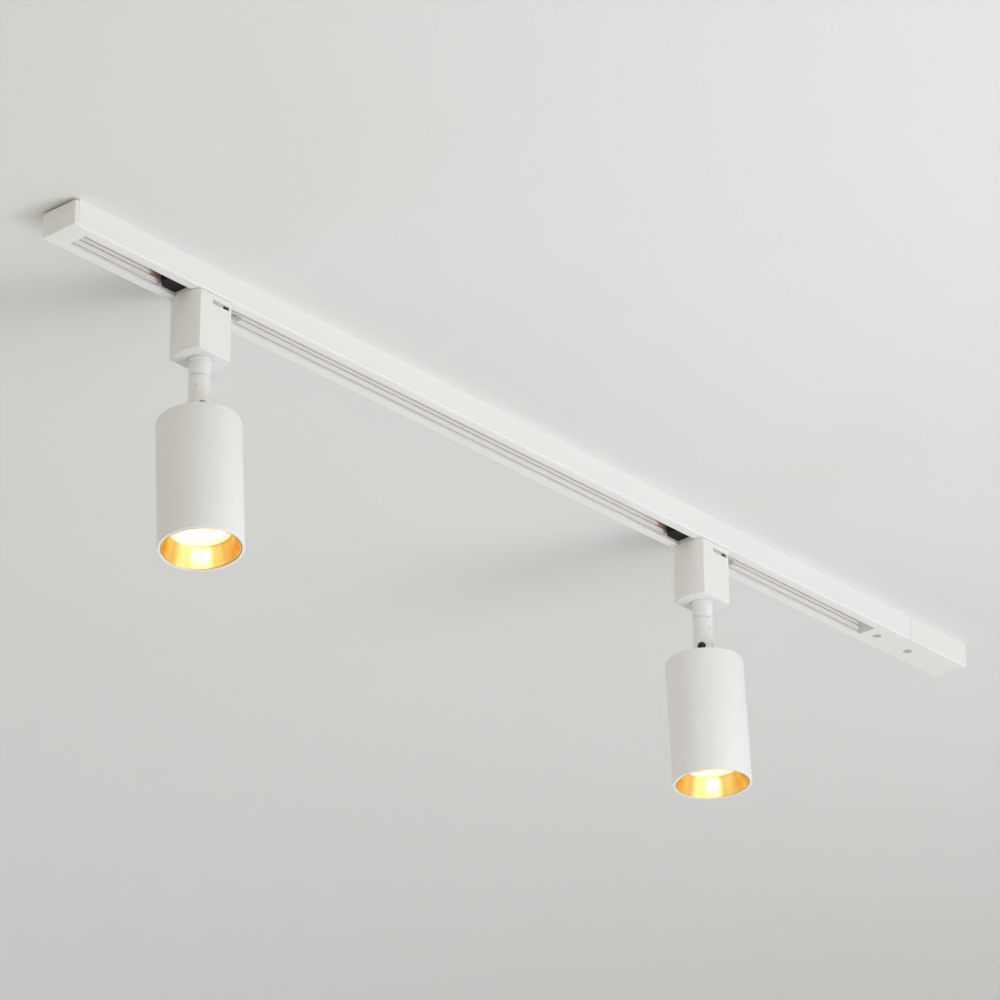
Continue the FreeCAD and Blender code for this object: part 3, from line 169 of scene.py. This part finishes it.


# --- Materials --------------------------------------------------------------

class Surface:
    """A material being put together around one Principled shader."""

    def __init__(self, name, color, roughness, **settings):
        self.material = bpy.data.materials.new(name)
        self.material.use_nodes = True
        self.tree = self.material.node_tree
        self.shader = self.tree.nodes["Principled BSDF"]
        self.color = color
        self.roughness = roughness
        self.set("Base Color", (*color, 1))
        self.set("Roughness", roughness)
        for socket, value in settings.items():
            self.set(socket.replace("_", " "), value)
        self.material.diffuse_color = (*color, 1)

    def set(self, socket, value):
        self.shader.inputs[socket].default_value = value

    def node(self, kind, **settings):
        node = self.tree.nodes.new(kind)
        for name, value in settings.items():
            setattr(node, name, value)
        return node

    def join(self, output, socket):
        self.tree.links.new(output, socket)

    def place(self, stretch=(1, 1, 1), space="Object"):
        """Texture coordinates: the part's own metres, or shares of a turned mesh's width and length."""
        source = self.node("ShaderNodeTexCoord")
        mapping = self.node("ShaderNodeMapping")
        mapping.inputs["Scale"].default_value = stretch
        self.join(source.outputs[space], mapping.inputs["Vector"])
        return mapping.outputs["Vector"]

    def noise(self, scale, detail=2.0, stretch=(1, 1, 1), space="Object", distortion=0.0):
        texture = self.node("ShaderNodeTexNoise")
        texture.inputs["Scale"].default_value = scale
        texture.inputs["Detail"].default_value = detail
        texture.inputs["Distortion"].default_value = distortion
        self.join(self.place(stretch, space), texture.inputs["Vector"])
        return texture.outputs["Fac"]

    def cells(self, scale, stretch=(1, 1, 1), space="Object"):
        texture = self.node("ShaderNodeTexVoronoi")
        texture.inputs["Scale"].default_value = scale
        self.join(self.place(stretch, space), texture.inputs["Vector"])
        return texture.outputs["Distance"]

    def spread(self, value, low, high, from_low=0.3, from_high=0.7):
        """A texture's value stretched to run from low to high."""
        span = self.node("ShaderNodeMapRange")
        span.inputs["From Min"].default_value = from_low
        span.inputs["From Max"].default_value = from_high
        span.inputs["To Min"].default_value = low
        span.inputs["To Max"].default_value = high
        self.join(value, span.inputs["Value"])
        return span.outputs["Result"]

    def math(self, operation, first, second):
        step = self.node("ShaderNodeMath", operation=operation)
        for socket, value in zip(step.inputs, (first, second)):
            if isinstance(value, (int, float)):
                socket.default_value = value
            else:
                self.join(value, socket)
        return step.outputs["Value"]

    def tint(self, factor, first, second):
        blend = self.node("ShaderNodeMix", data_type="RGBA")
        self.join(factor, blend.inputs["Factor"])
        for socket, color in ((blend.inputs[6], first), (blend.inputs[7], second)):
            if isinstance(color, tuple):
                socket.default_value = (*color, 1)
            else:
                self.join(color, socket)
        return blend.outputs[2]

    def vary_color(self, value, amount=0, second=None):
        """The base colour drifts down by a share of itself, or towards a second colour."""
        other = second or tuple(channel * (1 - amount) for channel in self.color)
        color = self.tint(value, self.color, other)
        self.join(color, self.shader.inputs["Base Color"])
        return color

    def vary_roughness(self, value, amount):
        self.join(self.spread(value, self.roughness - amount, self.roughness + amount),
                  self.shader.inputs["Roughness"])

    def edge_mask(self, radius=0.0004):
        """Near 1 along edges: where a rounded normal leaves the true one."""
        rounded = self.node("ShaderNodeBevel", samples=3)
        rounded.inputs["Radius"].default_value = radius
        geometry = self.node("ShaderNodeNewGeometry")
        product = self.node("ShaderNodeVectorMath", operation="DOT_PRODUCT")
        self.join(rounded.outputs["Normal"], product.inputs[0])
        self.join(geometry.outputs["True Normal"], product.inputs[1])
        return self.spread(product.outputs["Value"], 1, 0, 0.80, 0.99), rounded.outputs["Normal"]

    def relief(self, *layers, normal=None):
        """Bump layers of (height, depth in metres), each on top of the one before."""
        for height, depth in layers:
            bump = self.node("ShaderNodeBump")
            bump.inputs["Distance"].default_value = depth
            bump.inputs["Strength"].default_value = 1
            self.join(height, bump.inputs["Height"])
            if normal is not None:
                self.join(normal, bump.inputs["Normal"])
            normal = bump.outputs["Normal"]
        self.join(normal, self.shader.inputs["Normal"])
        return self.material


def powder_coat(name, color, drawn=False):
    """Satin powder coat: orange peel, a little drift in tone, thinner along the edges."""
    coat = Surface(name, color, 0.46, Coat_Weight=0.12, Coat_Roughness=0.3, IOR=1.5)
    drift = coat.noise(14, 3)
    peel = coat.noise(900, 3)
    grit = coat.noise(3600, 1)
    edge, rounded = coat.edge_mask()
    worn = coat.tint(coat.math("MULTIPLY", edge, 0.35), coat.vary_color(drift, 0.035),
                     tuple(min(1, channel * 1.06) for channel in color))
    coat.join(worn, coat.shader.inputs["Base Color"])
    coat.vary_roughness(peel, 0.07)
    layers = [(peel, 0.000012), (grit, 0.000004)]
    if drawn:
        layers.append((coat.noise(1400, 2, stretch=(0.01, 1, 1)), 0.000006))
    return coat.relief(*layers, normal=rounded)


def moulded(name, color, grain=1500, depth=0.000008, roughness=0.5, drift=0.03, gloss=0.5):
    """Moulded plastic with a spark-eroded grain and faint flow marks."""
    plastic = Surface(name, color, roughness, IOR=1.49, Specular_IOR_Level=gloss, Subsurface_Weight=0.04,
                      Subsurface_Radius=(0.002, 0.0016, 0.0012), Subsurface_Scale=0.4)
    flow = plastic.noise(22, 3, distortion=0.8)
    spark = plastic.noise(grain, 2)
    edge, rounded = plastic.edge_mask(0.0003)
    shade = plastic.tint(plastic.math("MULTIPLY", edge, 0.3), plastic.vary_color(flow, drift),
                         tuple(min(1, channel * 1.07 + 0.01) for channel in color))
    plastic.join(shade, plastic.shader.inputs["Base Color"])
    plastic.vary_roughness(spark, 0.08)
    return plastic.relief((spark, depth), (plastic.noise(60, 2), 0.00002), normal=rounded)


def extruded_plastic(name, color):
    """Insulating strip: fine lines drawn along the rail, slightly glossy, with a faint painted glow that lifts its
    shade.
    """
    # Its emission is painted light, brightening the strip where the slot lies in shade.
    strip = Surface(name, color, 0.42, IOR=1.5, Emission_Color=(*color, 1), Emission_Strength=STRIP_PAINTED_GLOW,
                    Subsurface_Weight=0.05,
                    Subsurface_Radius=(0.002, 0.0014, 0.001), Subsurface_Scale=0.4)
    lines = strip.noise(1800, 2, stretch=(0.008, 1, 1))
    strip.vary_color(strip.noise(9, 3), 0.05)
    strip.vary_roughness(lines, 0.09)
    return strip.relief((lines, 0.000008))


def drawn_copper(name, color):
    """Copper bar: bright drawn lines with patches of darker tarnish."""
    copper = Surface(name, color, 0.3, Metallic=1.0)
    lines = copper.noise(2600, 2, stretch=(0.006, 1, 1))
    tarnish = copper.spread(copper.noise(45, 5, stretch=(0.3, 1, 1)), 0, 0.6, 0.42, 0.68)
    copper.vary_color(tarnish, second=tuple(channel * 0.55 for channel in color))
    copper.vary_roughness(copper.math("ADD", lines, copper.math("MULTIPLY", tarnish, 0.3)), 0.1)
    return copper.relief((lines, 0.000006))


def plated(name, color, roughness, lines=900, tarnish=0.12):
    """Plated steel: fine polishing marks and a cloudy bloom."""
    metal = Surface(name, color, roughness, Metallic=1.0)
    bloom = metal.noise(160, 4, distortion=0.6)
    marks = metal.noise(lines, 3, stretch=(0.2, 1, 1))
    metal.vary_color(bloom, tarnish)
    metal.vary_roughness(bloom, 0.08)
    return metal.relief((marks, 0.000004))


def black_oxide(name, color):
    """Oiled black screws: dark, glossy, rubbed brighter along their edges."""
    screw = Surface(name, color, 0.28, Metallic=0.6, Coat_Weight=0.5, Coat_Roughness=0.12)
    edge, rounded = screw.edge_mask(0.0002)
    screw.vary_color(screw.math("MULTIPLY", edge, 0.5), second=(0.16, 0.15, 0.14))
    screw.vary_roughness(screw.noise(700, 3), 0.08)
    return screw.relief((screw.noise(1200, 2), 0.000005), normal=rounded)


def fired_ceramic(name, color):
    clay = Surface(name, color, 0.62, IOR=1.55)
    specks = clay.spread(clay.noise(1300, 2), 0, 1, 0.62, 0.72)
    clay.vary_color(specks, second=(0.62, 0.56, 0.46))
    clay.vary_roughness(clay.noise(300, 3), 0.08)
    return clay.relief((clay.noise(900, 4), 0.00002))


def silicone_sleeve(name, color):
    sleeve = Surface(name, color, 0.55, Sheen_Weight=0.15)
    ribs = sleeve.noise(1500, 1, stretch=(0.2, 0.2, 1))
    sleeve.vary_color(sleeve.noise(120, 2), 0.05)
    sleeve.vary_roughness(ribs, 0.06)
    return sleeve.relief((ribs, 0.00001))


def spun_gold(name, color):
    """Anodised sleeve: spun lines round the axis stretch its highlights along it; painted reflection streaks run
    round it, and a faint painted glow stands in for light thrown between its walls.
    """
    # Its emission is painted light, in place of light thrown between the sleeve's walls.
    gold = Surface(name, color, 0.36, Metallic=1.0, Anisotropic=0.95, Anisotropic_Rotation=0.25,
                   Specular_Tint=(1.0, 0.66, 0.15, 1),
                   Emission_Color=(*PAINTED_GLOW_GOLD, 1), Emission_Strength=GOLD_PAINTED_GLOW)
    lines = gold.noise(1500, 3, stretch=(0.004, 1, 1), space="UV")
    # Painted reflection: darker streaks round the axis, standing in for the bulb's facets mirrored in the sleeve.
    painted_streaks = gold.spread(gold.noise(13, 3, stretch=(1, 0.02, 1), space="UV"), 0, 1, 0.42, 0.66)
    cloud = gold.noise(30, 3, space="UV")
    tone = gold.tint(painted_streaks, color, tuple(channel * share for channel, share in zip(color, REFLECTION_STREAK_TINT)))
    gold.join(gold.tint(gold.spread(cloud, 0, 0.12), tone, OLD_GOLD), gold.shader.inputs["Base Color"])
    gold.vary_roughness(lines, 0.07)
    tangent = gold.node("ShaderNodeTangent", direction_type="UV_MAP", uv_map="UVMap")
    gold.join(tangent.outputs["Tangent"], gold.shader.inputs["Tangent"])
    return gold.relief((lines, 0.000003))


def lit_reflector(name, color, glow):
    """The bulb's fluted reflector, lit from inside: bright facets, dimmer creases."""
    mirror = Surface(name, color, 0.16, Metallic=1.0, Emission_Color=(*glow, 1))
    place = mirror.node("ShaderNodeTexCoord")
    axes = mirror.node("ShaderNodeSeparateXYZ")
    mirror.join(place.outputs["UV"], axes.inputs["Vector"])
    across = mirror.math("PINGPONG", mirror.math("MULTIPLY", axes.outputs["X"], FLUTES), 0.5)
    along = mirror.math("PINGPONG", mirror.math("MULTIPLY", axes.outputs["Y"], FLUTE_RINGS), 0.5)
    crease = mirror.spread(across, 0.74, 1, 0.04, 0.15)
    ring = mirror.spread(along, 0.85, 1, 0.01, 0.10)
    flicker = mirror.spread(mirror.noise(9, 2, stretch=(1, 0.1, 1), space="UV"), 0.78, 1.3)
    strength = mirror.math("MULTIPLY", mirror.math("MULTIPLY", crease, ring), flicker)
    mirror.join(mirror.math("MULTIPLY", strength, REFLECTOR_GLOW),
                mirror.shader.inputs["Emission Strength"])
    mirror.vary_roughness(mirror.noise(900, 2), 0.05)
    return mirror.relief((mirror.noise(1500, 2), 0.000004))


def pressed_metal(name, color):
    """The outside of the bulb: a thin aluminised film over pressed glass."""
    film = Surface(name, color, 0.2, Metallic=0.9, Coat_Weight=0.4, Coat_Roughness=0.05)
    film.vary_color(film.noise(70, 3, distortion=1), second=(0.62, 0.60, 0.66))
    film.vary_roughness(film.noise(400, 3), 0.07)
    return film.relief((film.noise(800, 2), 0.000008))


def front_glass(name, color):
    """Thin clear glass with a stippled back: mostly seen through."""
    glass = Surface(name, color, 0.1, IOR=1.5, Alpha=0.16, Coat_Weight=0.6, Coat_Roughness=0.03)
    stipple = glass.cells(700)
    glass.vary_color(stipple, 0.04)
    glass.vary_roughness(stipple, 0.05)
    return glass.relief((stipple, 0.00004))


def glowing(name, color, strength):
    """A frosted surface that gives off light, uneven by a few shades."""
    frost = Surface(name, color, 0.4)
    tone = frost.tint(frost.noise(300, 2), color, tuple(channel * 0.85 for channel in color))
    frost.join(tone, frost.shader.inputs["Emission Color"])
    frost.set("Emission Strength", strength)
    return frost.relief((frost.noise(900, 2), 0.00001))


MATERIALS = {
    "rail_paint": powder_coat("rail_powder_coat", WHITE, drawn=True),
    "head_paint": powder_coat("head_powder_coat", WHITE),
    "white_plastic": moulded("moulded_white", (0.82, 0.815, 0.795)),
    "beige_plastic": moulded("moulded_grey_beige", (0.56, 0.52, 0.46), grain=1100),
    "insulator": extruded_plastic("insulator_strip", (0.9, 0.88, 0.86)),
    "black_plastic": moulded("moulded_black", (0.010, 0.008, 0.007), depth=0.00002, gloss=0.15),
    "copper": drawn_copper("drawn_copper", (0.60, 0.33, 0.20)),
    "plated_steel": plated("zinc_plate", (0.9, 0.9, 0.88), 0.42),
    "nickel": plated("nickel_plate", (0.92, 0.91, 0.88), 0.26, lines=1600, tarnish=0.06),
    "black_steel": black_oxide("black_oxide", (0.02, 0.02, 0.021)),
    "wire_sleeve": silicone_sleeve("silicone_sleeve", (0.78, 0.77, 0.74)),
    "ceramic": fired_ceramic("fired_ceramic", (0.82, 0.78, 0.70)),
    "bulb_reflector": pressed_metal("aluminised_film", (0.80, 0.80, 0.82)),
    "lens_glass": front_glass("front_glass", (1.0, 0.98, 0.94)),
    "gold": spun_gold("spun_gold", (1.0, 0.76, 0.34)),
}
LIT_REFLECTOR = lit_reflector("lit_reflector", (0.42, 0.41, 0.39), (1.0, 0.93, 0.80))
BURNER = glowing("lit_burner", (1.0, 0.92, 0.78), BURNER_GLOW)
LIT_RIM = glowing("lit_rim", (1.0, 0.88, 0.62), RIM_GLOW)


def finish_piece(piece, slot, material=None):
    piece.data.materials.clear()
    piece.data.materials.append(material or MATERIALS[slot])
    return piece


# --- Shapes -----------------------------------------------------------------

def lamp_frame(head):
    """From the lamp's own frame, straight down from its tilt axis, to its place at rest."""
    joint = JOINTS[f"{head}_tilt"]
    axis = Vector(joint["axis"]).normalized()
    rest = math.radians(-min(joint["range_deg"]))
    side = -axis
    upright = Matrix((side.cross(UP), side, UP)).transposed()
    turned = Matrix.Rotation(rest, 3, axis) @ upright
    return Matrix.Translation(joint["pos_m"]) @ turned.to_4x4()


def lamp_span(head, part):
    """A lamp node's lowest and highest level in the lamp's own frame, in millimetres."""
    inverse = lamp_frame(head).inverted()
    levels = [(inverse @ vertex.co).z / MM for vertex in NODES[f"{head}_{part}"].data.vertices]
    return min(levels), max(levels)


def lamp_radius(head, part):
    inverse = lamp_frame(head).inverted()
    points = [inverse @ vertex.co for vertex in NODES[f"{head}_{part}"].data.vertices]
    return max(math.hypot(point.x, point.y) for point in points) / MM


def rounded(corners, steps=5):
    """A closed outline of (radius, level, rounding) with its corners turned into arcs."""
    outline = []
    for place, (radius, level, rounding) in enumerate(corners):
        corner = Vector((radius, level))
        if not rounding:
            outline.append(corner)
            continue
        before = Vector(corners[place - 1][:2]) - corner
        after = Vector(corners[(place + 1) % len(corners)][:2]) - corner
        before.normalize()
        after.normalize()
        half = before.angle(after) / 2
        reach = rounding / math.tan(half)
        centre = corner + (before + after).normalized() * rounding / math.sin(half)
        first = corner + before * reach - centre
        turn = first.angle_signed(corner + after * reach - centre)
        for step in range(steps + 1):
            spoke = first.copy()
            spoke.rotate(Matrix.Rotation(-turn * step / steps, 2))
            outline.append(centre + spoke)
    return outline


def new_piece(name, mesh, body):
    piece = bpy.data.objects.new(name, mesh)
    bpy.context.scene.collection.objects.link(piece)
    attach(piece, body)
    return piece


def spin(name, outline, place, segments=SPIN_SEGMENTS, closed=True, swell=None):
    """A mesh turned about the local vertical axis; its UVs are shares of a turn and of the outline.

    swell, if given, adds to the radius at (share of a turn, share of the outline).
    """
    mesh = bpy.data.meshes.new(name)
    build = bmesh.new()
    lengths = [0]
    for first, second in zip(outline, outline[1:] + outline[:1]):
        lengths.append(lengths[-1] + (second - first).length)
    rows = len(outline) + (1 if closed else 0)
    rings = []
    for turn in range(segments):
        share = turn / segments
        angle = math.tau * share
        ring = []
        for row, point in enumerate(outline):
            radius = point.x
            if swell and radius > 0:
                radius += swell(share, row / (len(outline) - 1))
            spot = Vector((radius * math.cos(angle), radius * math.sin(angle), point.y)) * MM
            ring.append(build.verts.new(place @ spot))
        rings.append(ring)
    layer = build.loops.layers.uv.new("UVMap")
    for turn in range(segments):
        here, there = rings[turn], rings[(turn + 1) % segments]
        for row in range(rows - 1):
            after = (row + 1) % len(outline)
            corners = [(here[row], turn, row), (there[row], turn + 1, row),
                       (there[after], turn + 1, row + 1), (here[after], turn, row + 1)]
            face = build.faces.new([corner[0] for corner in corners])
            face.smooth = True
            for loop, (_, column, step) in zip(face.loops, corners):
                loop[layer].uv = (column / segments, lengths[step] / lengths[-1])
    bmesh.ops.remove_doubles(build, verts=build.verts, dist=WELD_DISTANCE)
    bmesh.ops.dissolve_degenerate(build, edges=build.edges, dist=SLIVER_LENGTH)
    bmesh.ops.recalc_face_normals(build, faces=build.faces)
    build.to_mesh(mesh)
    build.free()
    mesh.set_sharp_from_angle(angle=SHARP_ANGLE)
    return mesh


def merge(name, *meshes):
    """One mesh out of several."""
    build = bmesh.new()
    for mesh in meshes:
        build.from_mesh(mesh)
    joined = bpy.data.meshes.new(name)
    build.to_mesh(joined)
    build.free()
    joined.set_sharp_from_angle(angle=SHARP_ANGLE)
    return joined


# --- Lamp -------------------------------------------------------------------

def build_housing(head, place):
    low, high = lamp_span(head, "lamp_housing")
    radius = lamp_radius(head, "lamp_housing")
    bore = radius - HOUSING_WALL
    outline = rounded([
        (0, high, 0), (radius, high, HOUSING_ROUND), (radius, low, LIP_ROUND),
        (bore, low, LIP_ROUND), (bore, high - HOUSING_TOP, HOUSING_CORNER), (0, high - HOUSING_TOP, 0)])
    mesh = spin(f"{head}_housing_shell", outline, place, segments=SMOOTH_SEGMENTS, closed=False)
    piece = new_piece(f"{head}_housing", mesh, f"{head}_lamp")
    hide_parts(f"{head}_lamp_housing")
    finish_piece(piece, "head_paint")


def build_baffle(head, place):
    low, _ = lamp_span(head, "gold_baffle")
    rim = low - BAFFLE_INSET + BAFFLE_DEPTH
    outline = rounded([
        (BAFFLE_MOUTH, low, BAFFLE_ROLL), (BAFFLE_MOUTH - BAFFLE_WALL, low, BAFFLE_ROLL),
        (BAFFLE_THROAT, rim, BAFFLE_BEND), (BAFFLE_LEDGE, rim, BAFFLE_CORNER),
        (BAFFLE_LEDGE, rim + BAFFLE_WALL, BAFFLE_CORNER),
        (BAFFLE_FLANGE, rim + BAFFLE_WALL, FLANGE_ROUND),
        (BAFFLE_FLANGE, rim, FLANGE_ROUND), (BAFFLE_THROAT + BAFFLE_WALL, rim, BAFFLE_CORNER)])
    mesh = spin(f"{head}_baffle_sleeve", outline, place, segments=SMOOTH_SEGMENTS)
    piece = new_piece(f"{head}_baffle", mesh, f"{head}_lamp")
    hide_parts(f"{head}_gold_baffle")
    finish_piece(piece, "gold")


def bowl(start, widest, narrowest, steps):
    """A parabola from the wide front of the bulb back to its throat."""
    points = []
    for step in range(steps + 1):
        radius = widest + (narrowest - widest) * step / steps
        points.append(Vector((radius, start + BULB_BOWL * (1 - (radius / widest) ** 2))))
    return points


def outer_rib(share, along):
    """Shallow ribs pressed into the outside of the bowl, fading at its ends."""
    fade = math.sin(math.pi * min(1, max(0, along)))
    return RIB_SWELL * fade * (math.cos(math.tau * OUTER_RIBS * share) - 1) / 2


def flute(share, along):
    """Facets on the inside of the bowl, each one swelling towards the axis."""
    across = math.sin(math.pi * ((share * FLUTES) % 1))
    rise = math.sin(math.pi * ((along * FLUTE_RINGS) % 1))
    return -FLUTE_SWELL * across * (FLUTE_BASE + (1 - FLUTE_BASE) * rise)


def build_bulb(head, place):
    """Bulb shell, lit reflector, burner and front glass."""
    front, _ = lamp_span(head, "bulb")
    rim_top = front + RIM_HEIGHT
    back = front + BULB_LENGTH
    glass_top = front + LENS_INSET + LENS_THICK
    body = f"{head}_lamp"

    rim = rounded([
        (BULB_RIM, front, RIM_ROUND), (BULB_RIM, rim_top, RIM_ROUND), (BULB_SKIRT, rim_top, 0),
        (BULB_SKIRT - BULB_WALL, rim_top, 0), (BULB_SKIRT - BULB_WALL / 2, glass_top, 0),
        (BULB_SKIRT - BULB_WALL / 2, front, RIM_INNER_ROUND)])
    outside = bowl(rim_top, BULB_SKIRT, BULB_THROAT, BULB_BOWL_STEPS)
    base = rounded([
        (BULB_THROAT, outside[-1].y, 0), (BULB_NECK, outside[-1].y + BASE_BEVEL, BASE_ROUND),
        (BULB_NECK, back - BASE_BEVEL, 0), (BULB_NECK - BASE_BEVEL, back, BASE_ROUND), (0, back, 0)])
    front_ring = new_piece(f"{head}_bulb_rim", spin(f"{head}_bulb_rim", rim, place), body)
    finish_piece(front_ring, "bulb_reflector", LIT_RIM)
    meshes = [spin("bulb_bowl", outside, place, segments=OUTER_RIBS * RIB_SEGMENTS, closed=False,
                   swell=outer_rib),
              spin("bulb_base", base, place, closed=False)]
    for side in (-1, 1):
        shifted = place @ Matrix.Translation((side * PIN_PITCH * MM, 0, 0))
        tip = back + PIN_LENGTH
        pin = rounded([(PIN_SHANK, back, 0), (PIN_SHANK, tip - PIN_HEAD_HEIGHT, 0),
                       (PIN_HEAD, tip - PIN_HEAD_HEIGHT, PIN_HEAD_ROUND),
                       (PIN_HEAD, tip, PIN_TIP_ROUND), (0, tip, 0)])
        meshes.append(spin("bulb_pin", pin, shifted, segments=PIN_SEGMENTS, closed=False))
    shell = new_piece(f"{head}_bulb_shell", merge(f"{head}_bulb_shell", *meshes), body)
    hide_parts(f"{head}_bulb")
    finish_piece(shell, "bulb_reflector")

    inside = bowl(glass_top, BULB_SKIRT - BULB_WALL, BULB_THROAT - BULB_WALL, FLUTE_RINGS * FLUTE_STEPS)
    crown = inside[-1]
    dome = [crown, Vector((crown.x * CROWN_NARROWING, crown.y + CROWN_RISE)),
            Vector((0, crown.y + CROWN_TOP))]
    mirror = merge(f"{head}_reflector",
                   spin("flutes", inside, place, segments=FLUTES * FLUTE_STEPS, closed=False, swell=flute),
                   spin("crown", dome, place, closed=False))
    reflector = new_piece(f"{head}_reflector", mirror, body)
    finish_piece(reflector, "bulb_reflector", LIT_REFLECTOR)

    tip = crown.y - BURNER_LENGTH
    root = crown.y + BURNER_ROOT
    burner = [Vector((radius, tip + rise)) for radius, rise in BURNER_TIP]
    burner += [Vector((BURNER_RADIUS, crown.y)), Vector((BURNER_ROOT_RADIUS, root)), Vector((0, root))]
    capsule = new_piece(
        f"{head}_burner",
        spin(f"{head}_burner", burner, place, segments=BURNER_SEGMENTS, closed=False), body)
    finish_piece(capsule, "bulb_reflector", BURNER)

    glass_low = front + LENS_INSET
    lens_outline = rounded([
        (0, glass_low, 0), (LENS_RADIUS, glass_low, LENS_ROUND),
        (LENS_RADIUS, glass_top, LENS_BACK_ROUND), (0, glass_top - LENS_DISH, 0)])
    lens = new_piece(f"{head}_lens", spin(f"{head}_lens", lens_outline, place, closed=False), body)
    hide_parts(f"{head}_bulb_lens")
    finish_piece(lens, "lens_glass")


def add_beam(head, place):
    """The bulb's own light, which leaves it just under the front glass and moves with the lamp."""
    front, _ = lamp_span(head, "bulb")
    beam = bpy.data.lights.new(f"{head}_beam", "SPOT")
    beam.spot_size = BEAM_SPREAD
    beam.spot_blend = BEAM_EDGE
    beam.shadow_soft_size = BEAM_RADIUS * MM
    beam.energy = BEAM_POWER
    beam.color = BEAM_COLOR
    light = bpy.data.objects.new(f"{head}_beam", beam)
    light.matrix_world = place @ Matrix.Translation((0, 0, (front - BEAM_DROP) * MM))
    light.visible_camera = False
    bpy.context.scene.collection.objects.link(light)
    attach(light, f"{head}_lamp")


def build_lamp(head):
    place = lamp_frame(head)
    add_beam(head, place)
    build_housing(head, place)
    build_baffle(head, place)
    build_bulb(head, place)


# --- Stage ------------------------------------------------------------------

def one_sided(name, color, roughness):
    """A wall that shows only from its front, so that it hides nothing from behind."""
    wall = Surface(name, color, roughness)
    wall.vary_color(wall.noise(3, 3), 0.012)
    wall.relief((wall.noise(260, 4), 0.00012))
    geometry = wall.node("ShaderNodeNewGeometry")
    clear = wall.node("ShaderNodeBsdfTransparent")
    choice = wall.node("ShaderNodeMixShader")
    output = wall.tree.nodes["Material Output"]
    wall.join(geometry.outputs["Backfacing"], choice.inputs["Fac"])
    wall.join(wall.shader.outputs["BSDF"], choice.inputs[1])
    wall.join(clear.outputs["BSDF"], choice.inputs[2])
    wall.join(choice.outputs["Shader"], output.inputs["Surface"])
    return wall.material


def add_plane(name, level, facing_up, material):
    half = ROOM_SIZE / 2
    corners = [(-half, -half, level), (half, -half, level), (half, half, level), (-half, half, level)]
    mesh = bpy.data.meshes.new(name)
    mesh.from_pydata(corners if facing_up else corners[::-1], [], [(0, 1, 2, 3)])
    plane = bpy.data.objects.new(name, mesh)
    bpy.context.scene.collection.objects.link(plane)
    mesh.materials.append(material)


def add_light(name, place, target, size, power, color):
    lamp = bpy.data.lights.new(name, "AREA")
    lamp.shape = "DISK"
    lamp.size = size
    lamp.energy = power
    lamp.color = color
    light = bpy.data.objects.new(name, lamp)
    light.location = place
    light.rotation_euler = (Vector(target) - Vector(place)).to_track_quat("-Z", "Y").to_euler()
    bpy.context.scene.collection.objects.link(light)


def add_world(color, strength):
    world = bpy.data.worlds.new("studio")
    world.use_nodes = True
    background = world.node_tree.nodes["Background"]
    background.inputs["Color"].default_value = (*color, 1)
    background.inputs["Strength"].default_value = strength
    bpy.context.scene.world = world


def add_camera():
    forward = Vector((math.sin(CAMERA_YAW) * math.cos(CAMERA_PITCH),
                      math.cos(CAMERA_YAW) * math.cos(CAMERA_PITCH), math.sin(CAMERA_PITCH)))
    right = Vector((math.cos(CAMERA_YAW), -math.sin(CAMERA_YAW), 0))
    level = Matrix((right, right.cross(forward), -forward)).transposed()
    rolled = level @ Matrix.Rotation(-CAMERA_ROLL, 3, "Z")
    data = bpy.data.cameras.new("camera")
    data.lens = CAMERA_LENS
    data.sensor_width = CAMERA_SENSOR
    data.clip_end = CAMERA_REACH
    camera = bpy.data.objects.new("camera", data)
    camera.matrix_world = Matrix.Translation(CAMERA_PLACE) @ rolled.to_4x4()
    bpy.context.scene.collection.objects.link(camera)
    bpy.context.scene.camera = camera


def build_stage():
    add_plane("ceiling", CEILING_LEVEL, False, one_sided("ceiling_paint", (0.76, 0.755, 0.745), 0.9))
    add_plane("floor", FLOOR_LEVEL, True, one_sided("floor_paint", (0.72, 0.71, 0.69), 0.8))
    for settings in LIGHTS:
        add_light(*settings)
    add_world(WORLD_COLOR, WORLD_STRENGTH)
    add_camera()
    bpy.context.scene.view_settings.view_transform = "Standard"


# --- Scene ------------------------------------------------------------------

build_stage()
for node_name, node in NODES.items():
    finish_piece(node, SLOTS[node_name])
for head_name in HEADS:
    build_lamp(head_name)
